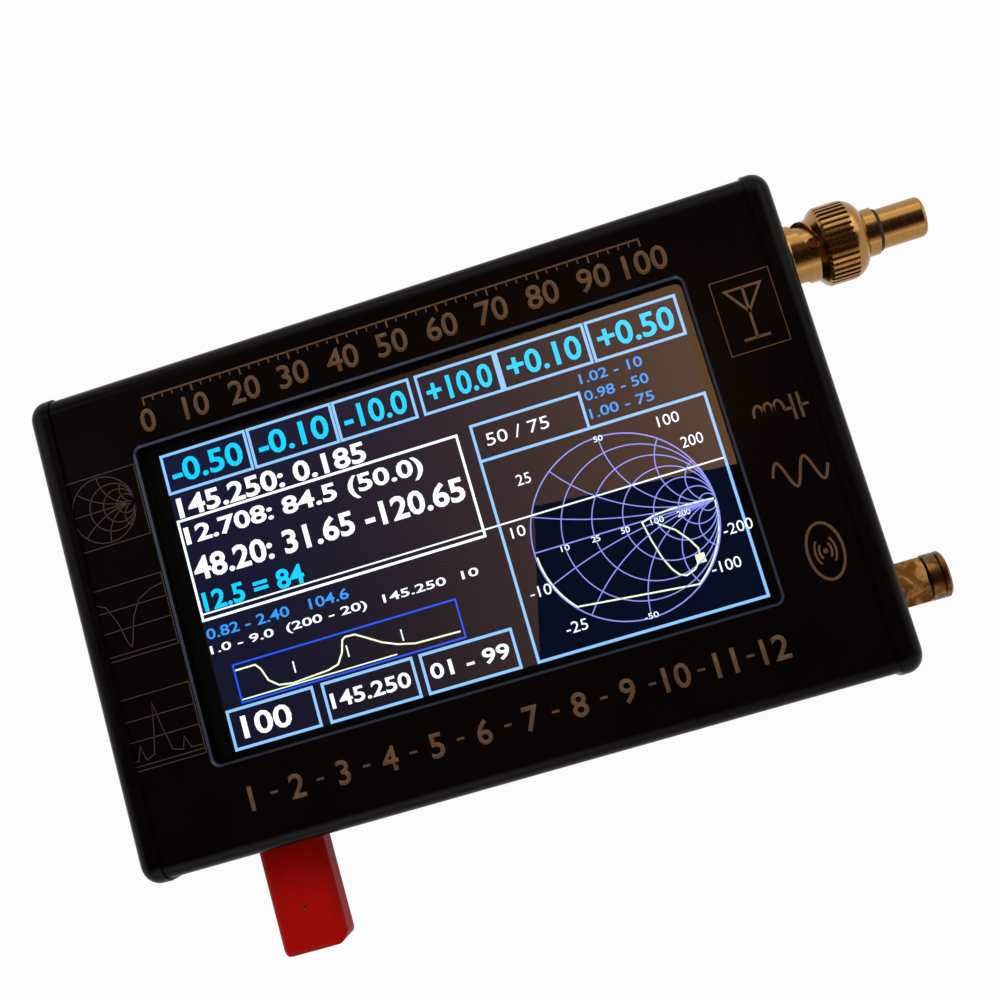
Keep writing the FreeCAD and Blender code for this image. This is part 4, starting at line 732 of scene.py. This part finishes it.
def plate_ring(bm, outer, inner, z):
    """Flat ring between two oblongs (x, y), or a plain plate without the inner one."""
    corners = [bm.verts.new((x, y, z)) for x, y in oblong(*outer)]
    if inner is None:
        bm.faces.new(corners[::-1])
        return
    inside = [bm.verts.new((x, y, z)) for x, y in oblong(*inner)]
    for index in range(4):
        after = (index + 1) % 4
        bm.faces.new((corners[after], corners[index], inside[index], inside[after]))


lit = ((PICTURE_CENTRE.x - PICTURE_HALF[0], PICTURE_CENTRE.x + PICTURE_HALF[0]),
       (PICTURE_CENTRE.y - PICTURE_HALF[1], PICTURE_CENTRE.y + PICTURE_HALF[1]))
edge = 0.2 * MM
rim = ((GLASS_LOW[0] + edge, GLASS_HIGH[0] - edge), (GLASS_LOW[1] + edge, GLASS_HIGH[1] - edge))
border_print = finish("border_print", (0.002, 0.002, 0.002), (0.004, 0.004, 0.004), (0.3, 0.4), GRAIN,
                      settings={"Specular IOR Level": 0.05})
bm = bmesh.new()
plate_ring(bm, rim, lit, LAYER_Z)
lay("picture_border", bm, border_print)
bm = bmesh.new()
plate_ring(bm, lit, None, LAYER_Z)
ground = glow("picture_dark", (0.0013, 0.0036, 0.0165), 1.0, gap=0.2)


def leak(material):
    """Let the black picture glow more towards its upper left corner."""
    tree = material.node_tree
    place = add(tree, "ShaderNodeTexCoord")
    spot = add(tree, "ShaderNodeSeparateXYZ")
    tree.links.new(place.outputs["Object"], spot.inputs[0])
    slope = maths(tree, "SUBTRACT", spot.outputs[1], spot.outputs[0])
    rise = add(tree, "ShaderNodeMapRange", From_Min=-10 * MM, From_Max=75 * MM, To_Min=1.0, To_Max=2.5)
    tree.links.new(slope, rise.inputs["Value"])
    tree.links.new(rise.outputs[0], shader_of(material).inputs["Emission Strength"])


leak(ground)
lay("picture_ground", bm, ground)


# %% [markdown]
# ## Laying out the picture
# The picture could be one piece per line, but that would be a hundred pieces. A small class gathers
# all lines and numbers of one colour in one mesh, and adds the panel's centre to each place, so that
# the layout below is written in millimetres from the middle of the screen.

# %% Picture helper
class Picture:
    """Strips and numbers of one colour, laid out from the picture's centre."""

    def __init__(self, colour):
        self.colour = colour
        self.bm = bmesh.new()
        self.dx = PICTURE_CENTRE.x / MM
        self.dy = PICTURE_CENTRE.y / MM

    def line(self, points, width=0.4, closed=False):
        strip(self.bm, [(x + self.dx, y + self.dy) for x, y in points], width, LINES_Z, closed)

    def frame(self, x, y, width=0.42):
        self.line(oblong(x, y), width, closed=True)

    def text(self, text, x, y, bold=0.0):
        x = (x[0] + self.dx, x[1] + self.dx)
        y = (y[0] + self.dy, y[1] + self.dy)
        number(self.bm, text, x, y, LINES_Z, bold)

    def done(self):
        return lay("picture_" + self.colour, self.bm, glows[self.colour], 0.02 * MM)


print("picture from", [round(value[0], 4) for value in lit], "to", [round(value[1], 4) for value in lit])

# %% [markdown]
# ## Fields to touch
# Six framed fields along the top hold steps down and up in cyan, and three stand along the bottom. A
# frame drawn as four loose lines would gap at its corners, so each is one closed strip. The large
# frame on the right holds the impedance chart.

# %% Frames and cyan numbers
TOP_BOXES = ((-47.3, -31.6, "-0.50"), (-30.9, -15.5, "-0.10"), (-14.9, -1.0, "-10.0"), (0.5, 14.6, "+10.0"),
             (15.1, 30.7, "+0.10"), (31.4, 47.2, "+0.50"))
frames = Picture("frame_blue")
cyan = Picture("cyan")
STEP_BOLD = 0.022
for left, right, text in TOP_BOXES:
    frames.frame((left, right), (19.8, 26.7), 0.5)
    cyan.text(text, (left + 1.2, right - 1.1), (21.1, 25.4), STEP_BOLD)
cyan.text("12.5 = 84", (-46.4, -27.7), (-2.2, 1.3), 0.026)
cyan.done()
for left, right in ((-47.2, -31.6), (-29.7, -13.5), (-11.9, 4.3)):
    frames.frame((left, right), (-26.6, -19.9), 0.5)
frames.frame((7.4, 26.9), (9.0, 15.4), 0.5)
frames.frame((7.4, 47.2), (-26.6, 9.0), 0.5)
frames.done()

# %% [markdown]
# ## Readings
# Large white numbers in a frame are the readings, and a long cursor line crosses the whole picture.
# The small numbers round the chart name its curves. They are listed with their places and drawn by
# loops, since each differs from the next by text and place alone.

# %% White text and cursor
READING_BOLD = 0.026
white_marks = Picture("white")
white_marks.frame((-47.2, 4.6), (-3.5, 14.6), 0.45)
READINGS = (("145.250: 0.185", -11.5, 15.0, 18.7), ("12.708: 84.5 (50.0)", -2.5, 9.2, 13.3),
            ("48.20: 31.65 -120.65", 3.4, 3.4, 7.7))
for text, right, low, high in READINGS:
    white_marks.text(text, (-46.6, right), (low, high), READING_BOLD)
white_marks.line([(-47.2, -2.45), (47.2, -2.45)], 0.28)
white_marks.text("1.0 - 9.0  (200 - 20)  145.250  10", (-47.3, 1.8), (-10.0, -8.1), 0.014)
for left, right, text, high in ((-45.2, -36.2, "100", 4.0), (-28.9, -14.5, "145.250", 2.7),
                                (-10.9, 3.2, "01 - 99", 2.7)):
    white_marks.text(text, (left, right), (-23.2 - high / 2, -23.2 + high / 2), 0.02)
white_marks.text("50 / 75", (9.4, 20.6), (11.2, 13.4))
for tick in (-33.6, -23.8, -13.9):
    white_marks.line([(tick, -14.7), (tick, -16.7)], 0.25)
LABELS = (("25", 12.4, 4.0), ("10", 9.0, -4.4), ("-10", 9.2, -15.2), ("-25", 13.4, -22.6),
          ("100", 38.2, 6.6), ("200", 41.0, 2.0), ("-200", 43.3, -14.2), ("-100", 39.6, -19.8))
for text, x, y in LABELS:
    white_marks.text(text, (x, x + 1.25 * len(text)), (y - 0.95, y + 0.95))
for text, x in (("10", 16.4), ("25", 21.8), ("50", 27.0), ("100", 32.2), ("200", 36.8)):
    white_marks.text(text, (x, x + 0.75 * len(text)), (-9.9, -8.9), 0.006)
for text, y in (("50", 6.9), ("-50", -24.4)):
    white_marks.text(text, (27.8 - 0.4 * len(text), 27.8 + 0.4 * len(text)), (y - 0.5, y + 0.5), 0.006)
white_marks.done()

# %% [markdown]
# ## The impedance chart
# The chart is a grid of circles: each steady resistance is a circle that touches the right end of
# the axis, and each steady reactance is an arc that ends there. Both come from one formula, so the
# circles cross the axis where the printed values say.

# %% Chart
CHART = (27.8, -8.8, 15.95)
grid = Picture("periwinkle")
grid.line(placed(arc(0, 0, 1, 1, 0, 360, 96), *CHART), 0.22)
for value in (0.2, 0.5, 1.0, 2.0, 4.0, 10.0):
    grid.line(placed(chart_points(resistance=value, steps=64), *CHART), 0.19)
    if value < 10:
        for sign in (-1, 1):
            grid.line(placed(chart_points(reactance=sign * value, steps=36), *CHART), 0.19)
grid.line([(CHART[0] - CHART[2], CHART[1]), (CHART[0] + CHART[2], CHART[1])], 0.22)
grid.done()

# %% [markdown]
# ## Blue marks
# The small plot has a deep blue frame, and short notes stand in a lighter blue. Blue is the dimmest
# colour of a panel and thin strokes in it would vanish, so the notes are set in bold strokes.

# %% Blue marks
blue_marks = Picture("blue")
blue_marks.frame((-44.1, -3.4), (-19.1, -12.4), 0.3)
blue_marks.done()
sky = Picture("sky")
sky.text("0.82 - 2.40   104.6", (-47.3, -21.0), (-7.0, -5.1), 0.014)
for text, y, right in (("1.02 - 10", 17.6, 38.8), ("0.98 - 50", 14.5, 39.0), ("1.00 - 75", 11.3, 39.0)):
    sky.text(text, (27.7, right), (y - 0.9, y + 0.9), 0.01)
sky.done()

# %% [markdown]
# ## The traces
# Two measured curves glow yellow-white. The small plot has a flat start, a dip and one peak. On the
# chart the sweep follows the left rim, crosses the lower part, climbs the right rim and loops, and a
# square marks the chosen point. No formula gives a measured curve, so its points are listed one by one,
# apart from the stretches along the rim, which are arcs.

# %% Traces
trace = Picture("trace")
sweep = [(-43.9, -13.4), (-40.2, -13.4), (-39.4, -14.4), (-38.6, -16.6), (-37.0, -17.9), (-34.5, -18.3),
         (-28.0, -17.9), (-26.0, -17.4), (-24.8, -15.6), (-24.2, -13.6), (-23.6, -13.2), (-21.8, -13.3),
         (-20.0, -14.4), (-17.6, -15.9), (-15.0, -17.0), (-12.0, -17.7), (-7.5, -17.8), (-4.0, -17.9)]
trace.line(sweep, 0.3)
trace.line([(-44.0, -18.6), (-15.6, -18.6)], 0.22)
rim_left = placed(arc(0, 0, 0.985, 0.985, 183, 223, 16), *CHART)
rim_right = placed(arc(0, 0, 0.985, 0.985, 306, 360, 20), *CHART)
trace.line(rim_left + [(37.0, -21.6)] + rim_right, 0.28)
axis_run = [(43.4, -8.5), (40.0, -8.3), (36.0, -8.2), (33.0, -8.4), (30.8, -9.0)]
loop = [(31.4, -12.2), (32.3, -15.6), (33.3, -17.9), (34.3, -19.2), (35.4, -19.6), (37.0, -19.0),
        (38.4, -17.5), (38.5, -15.8), (37.5, -14.0), (35.8, -11.8), (33.3, -10.0)]
trace.line(axis_run + loop, 0.28)
trace.line([(37.6, -17.5), (39.2, -17.5)], 1.6)
trace.done()

# %% [markdown]
# ## Lamp window
# The red plug has a tiny dark lamp window on top. Half a ball would do, but most of it would be sunk
# in the grip, so a few rings of points make just the low dome that stands out.

# %% Lamp window
grip_low, grip_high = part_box("usb_plug_grip")
LAMP = Vector(((grip_low[0] + grip_high[0]) / 2, -55.1 * MM, grip_high[2]))


def dome(name, centre, radius, height, material, body):
    """Low rounded button: rings of points that sink towards the rim."""
    bm = bmesh.new()
    top = bm.verts.new(centre + Vector((0, 0, height)))
    rings = []
    for ring in range(1, 5):
        reach = radius * ring / 4
        drop = height * (1 - (ring / 4) ** 2)
        rings.append([bm.verts.new(centre + Vector((reach * math.cos(a), reach * math.sin(a), drop)))
                      for a in (2 * math.pi * i / 24 for i in range(24))])
    for i in range(24):
        bm.faces.new((top, rings[0][i], rings[0][(i + 1) % 24]))
        for inner, outer in zip(rings, rings[1:]):
            bm.faces.new((inner[i], outer[i], outer[(i + 1) % 24], inner[(i + 1) % 24]))
    mesh = bpy.data.meshes.new(name)
    bm.to_mesh(mesh)
    bm.free()
    mesh.materials.append(material)
    for polygon in mesh.polygons:
        polygon.use_smooth = True
    piece = bpy.data.objects.new(name, mesh)
    bpy.context.scene.collection.objects.link(piece)
    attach(piece, body)
    return piece


lamp = finish("lamp_window", (0.12, 0.004, 0.003), (0.18, 0.006, 0.004), (0.3, 0.4), GRAIN)
dome("plug_lamp", LAMP, 0.42 * MM, 0.08 * MM, lamp, "usb_plug")
print("lamp window at", [round(value, 4) for value in LAMP])

# %% [markdown]
# ## Thread of the small port
# The small port is threaded and shows when the load is screwed back. A bump could stand for the
# thread, but its outline would stay smooth. A ridge of triangular section that climbs round the
# barrel at the port's real pitch gives the outline too, and fades out at both ends.

# %% Thread of the small port
def thread(name, centre, root, crest, pitch, x, body):
    """A ridge of triangular section that climbs round a line along X."""
    bm = bmesh.new()
    per_turn = 36
    turns = (x[1] - x[0]) / pitch
    steps = int(turns * per_turn)
    rows = []
    for i in range(steps + 1):
        angle = 2 * math.pi * i / per_turn
        along = x[0] + (x[1] - x[0]) * i / steps
        fade = min(1.0, i / 12, (steps - i) / 12)
        row = []
        for shift, radius in ((-0.42, root), (0.0, root + (crest - root) * fade), (0.42, root)):
            row.append(bm.verts.new((along + shift * pitch, centre[1] + radius * math.cos(angle),
                                     centre[2] + radius * math.sin(angle))))
        rows.append(row)
    for a, b in zip(rows, rows[1:]):
        for j in (0, 1):
            bm.faces.new((a[j], b[j], b[j + 1], a[j + 1]))
        bm.faces.new((a[2], b[2], b[0], a[0]))
    bmesh.ops.recalc_face_normals(bm, faces=bm.faces)
    mesh = bpy.data.meshes.new(name)
    bm.to_mesh(mesh)
    bm.free()
    mesh.materials.append(brass)
    piece = bpy.data.objects.new(name, mesh)
    bpy.context.scene.collection.objects.link(piece)
    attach(piece, body)
    print(name, "turns", round(turns, 1))
    return piece


jack_low, jack_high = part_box("lower_jack_shell")
nut_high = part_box("lower_jack_nut")[1]
jack_axis = Vector([(a + b) / 2 for a, b in zip(jack_low, jack_high)])
PITCH = 25.4 * MM / 36
THREAD_ROOT, THREAD_CREST = 3.09 * MM, 3.24 * MM
thread("lower_jack_thread", jack_axis, THREAD_ROOT, THREAD_CREST, PITCH,
       (nut_high[0] + 0.4 * MM, jack_high[0] - 0.7 * MM), "case")

# %% [markdown]
# ## Light that looks white
# White paper lit by a few soft lamps renders grey, and more light would wash out the black case. So
# the paper and the room glow white, but only for rays that look: from the camera, or by way of
# metal or glass. Rays that carry light don't see the glow, so the object and its shadow stay as the
# lamps make them.

# %% Rays that look
def looking(tree):
    """1 for rays from the camera or by way of metal or glass, 0 for rays that only carry light."""
    path = add(tree, "ShaderNodeLightPath")
    looks = maths(tree, "ADD", path.outputs["Is Camera Ray"], path.outputs["Is Glossy Ray"])
    return maths(tree, "ADD", looks, path.outputs["Is Transmission Ray"], clamp=True)


PAPER_WHITE = 0.96
print("paper white", PAPER_WHITE)

# %% [markdown]
# ## Floor
# The instrument lies on white paper. A fully glowing floor would lose the shadow, so a small share
# of it stays real paper, which darkens a little under the case.

# %% Floor
def floor_material():
    """White paper that looks almost pure white, with only faint shadows."""
    material = bpy.data.materials.new("floor_paper")
    material.use_nodes = True
    tree = material.node_tree
    tree.nodes.clear()
    paper = add(tree, "ShaderNodeBsdfDiffuse", Roughness=0.9)
    paper.inputs["Color"].default_value = (0.82, 0.81, 0.80, 1.0)
    lit_paper = add(tree, "ShaderNodeEmission", Strength=1.0)
    seen = maths(tree, "MULTIPLY", looking(tree), PAPER_WHITE)
    mix = add(tree, "ShaderNodeMixShader")
    tree.links.new(seen, mix.inputs[0])
    tree.links.new(paper.outputs[0], mix.inputs[1])
    tree.links.new(lit_paper.outputs[0], mix.inputs[2])
    output = add(tree, "ShaderNodeOutputMaterial")
    tree.links.new(mix.outputs[0], output.inputs["Surface"])
    return material


def sheet_object(name, corners, material):
    """A flat four-cornered stage sheet."""
    mesh = bpy.data.meshes.new(name)
    mesh.from_pydata(corners, [], [tuple(range(len(corners)))])
    mesh.materials.append(material)
    sheet = bpy.data.objects.new(name, mesh)
    bpy.context.scene.collection.objects.link(sheet)
    return sheet


REACH = 2.0
sheet_object("floor", [(-REACH, -REACH, FLOOR_Z), (REACH, -REACH, FLOOR_Z), (REACH, REACH, FLOOR_Z),
                       (-REACH, REACH, FLOOR_Z)], floor_material())
print("floor at", round(FLOOR_Z, 4), "reaches", REACH)

# %% [markdown]
# ## Ceiling
# The case's face and the glass are nearly mirrors for what is above them, and in the photograph they
# are dark. A white room would show in both, so a dark cloth hangs above. The camera doesn't see it.

# %% Ceiling
CEILING_Z = 1.2
cloth = finish("ceiling_cloth", (0.010, 0.009, 0.008), (0.016, 0.014, 0.012), (0.8, 0.9), GRAIN,
               values={"Scale": 20.0})
ceiling = sheet_object("ceiling", [(-REACH, -REACH, CEILING_Z), (-REACH, REACH, CEILING_Z),
                                   (REACH, REACH, CEILING_Z), (REACH, -REACH, CEILING_Z)], cloth)
ceiling.visible_camera = False
print("ceiling at", CEILING_Z)

# %% [markdown]
# ## Room
# Round about is a white room that gives almost no light of its own. As with the floor, a mix by kind
# of ray makes it white to look at and dim as a lamp.

# %% World
world = bpy.data.worlds.new("studio")
bpy.context.scene.world = world
world.use_nodes = True
sky_tree = world.node_tree
sky_tree.nodes.clear()
dim = add(sky_tree, "ShaderNodeBackground", Color=(1.0, 0.93, 0.86, 1.0), Strength=0.03)
bright = add(sky_tree, "ShaderNodeBackground", Color=(1.0, 1.0, 1.0, 1.0), Strength=PAPER_WHITE)
either = add(sky_tree, "ShaderNodeMixShader")
sky_tree.links.new(looking(sky_tree), either.inputs[0])
sky_tree.links.new(dim.outputs[0], either.inputs[1])
sky_tree.links.new(bright.outputs[0], either.inputs[2])
sky_out = add(sky_tree, "ShaderNodeOutputWorld")
sky_tree.links.new(either.outputs[0], sky_out.inputs["Surface"])
print("room light", dim.inputs[1].default_value)


# %% [markdown]
# ## Lamps
# Round brass shows its shape by long soft highlights. Small lamps would give hard spots, so these are
# large panels at the sides. Two of them stand behind and before the ports, one to the right, and
# two light the marks and the red plug. None stands where the face would mirror it.

# %% Lights
def area(name, place, target, size, power, colour):
    """Rectangular lamp that faces its target."""
    lamp_data = bpy.data.lights.new(name, "AREA")
    lamp_data.shape = "RECTANGLE"
    lamp_data.size, lamp_data.size_y = size
    lamp_data.energy = power
    lamp_data.color = colour
    lamp_object = bpy.data.objects.new(name, lamp_data)
    lamp_object.location = place
    aim = Vector(target) - Vector(place)
    lamp_object.rotation_euler = aim.to_track_quat("-Z", "Y").to_euler()
    bpy.context.scene.collection.objects.link(lamp_object)
    return lamp_object


PORTS = (0.08, 0.0, 0.018)
LAMPS = (("back_box", (0.21, 0.47, 0.41), PORTS, (0.9, 0.42), 1.75, (1.0, 0.94, 0.84)),
         ("low_front", (0.15, -0.49, 0.33), PORTS, (0.8, 0.26), 0.42, (1.0, 0.84, 0.68)),
         ("right_box", (0.70, 0.30, 0.55), PORTS, (0.5, 0.5), 1.2, (1.0, 0.96, 0.90)),
         ("left_box", (-0.80, 0.45, 0.75), (0, 0, 0.02), (0.7, 0.7), 2.6, (0.98, 0.97, 1.0)),
         ("front_box", (-0.35, -0.85, 0.60), (-0.04, -0.05, 0.02), (0.6, 0.6), 1.8, (1.0, 0.96, 0.92)))
for settings in LAMPS:
    area(*settings)
print("lamps", len(LAMPS), "with", round(sum(settings[4] for settings in LAMPS), 2), "watts")

# %% [markdown]
# ## Camera
# The camera stands where the photographer stood. It could be set by eye, but the corners of the
# screen and the case are known in millimetres and in the photograph, and fitting one to the other
# gives its place, its turn and its lens.

# %% Camera
camera_data = bpy.data.cameras.new("camera")
camera_data.sensor_width = 36.0
camera_data.lens = 43.770
camera_data.clip_start = 0.01
camera = bpy.data.objects.new("camera", camera_data)
CAMERA_PLACE = Vector((27.998, -22.557, 240.306)) * MM
RIGHT = Vector((0.952804, -0.278134, -0.121677))
DOWN = Vector((-0.289672, -0.952866, -0.090209))
FORWARD = Vector((-0.090852, 0.121198, -0.988462))
turn = Matrix((RIGHT, -DOWN, -FORWARD)).transposed()
camera.matrix_world = Matrix.Translation(CAMERA_PLACE) @ turn.to_4x4()
bpy.context.scene.collection.objects.link(camera)
bpy.context.scene.camera = camera
bpy.context.scene.view_settings.view_transform = "Standard"
print("camera", [round(value, 4) for value in camera.location])

# %% [markdown]
# ## The reflection in the glass
# In the photograph a warm surface above the instrument shows in the glass as a brown field, bright
# at the right and faint at the left. It could be painted on the glass, but then it would stay there
# from every side. It is a glowing card here. Its outline is chosen on the glass, and each corner is
# carried up along the line from the camera's mirror image, so that the card covers just that part
# of the glass in the camera's view. Only mirrors see it.

# %% Warm card
CARD_HEIGHT = 400 * MM
CARD_ON_GLASS = ((-47.0, 28.1), (50.2, 29.5), (49.6, -3.2), (14.4, -0.1), (7.9, -25.8), (-47.4, -25.7))
GLASS_TOP = GLASS_HIGH[2]


def card_corner(x, y):
    """The place on the card that the camera sees mirrored in the glass at x and y in millimetres."""
    eye = Vector((CAMERA_PLACE.x, CAMERA_PLACE.y, 2 * GLASS_TOP - CAMERA_PLACE.z))
    on_glass = Vector((x * MM, y * MM, GLASS_TOP))
    return eye + (on_glass - eye) * (CARD_HEIGHT - eye.z) / (GLASS_TOP - eye.z)


def card_material(left, right):
    """Warm glow, faint at the left end and ever steeper towards the right end."""
    material = bpy.data.materials.new("warm_card")
    material.use_nodes = True
    tree = material.node_tree
    tree.nodes.clear()
    place = add(tree, "ShaderNodeTexCoord")
    parts = add(tree, "ShaderNodeSeparateXYZ")
    tree.links.new(place.outputs["Object"], parts.inputs[0])
    rise = add(tree, "ShaderNodeMapRange", From_Min=left, From_Max=right)
    tree.links.new(parts.outputs[0], rise.inputs["Value"])
    steep = maths(tree, "MULTIPLY", maths(tree, "POWER", rise.outputs[0], 2.0), 2.6)
    shine = add(tree, "ShaderNodeEmission")
    shine.inputs["Color"].default_value = (1.0, 0.52, 0.22, 1.0)
    tree.links.new(maths(tree, "ADD", steep, 0.15), shine.inputs["Strength"])
    output = add(tree, "ShaderNodeOutputMaterial")
    tree.links.new(shine.outputs[0], output.inputs["Surface"])
    return material


corners = [card_corner(x, y) for x, y in CARD_ON_GLASS]
card_ends = min(c.x for c in corners), max(c.x for c in corners)
card = sheet_object("warm_card", corners, card_material(*card_ends))
card.visible_diffuse = False
card.visible_camera = False
print("card from", round(card_ends[0], 3), "to", round(card_ends[1], 3))
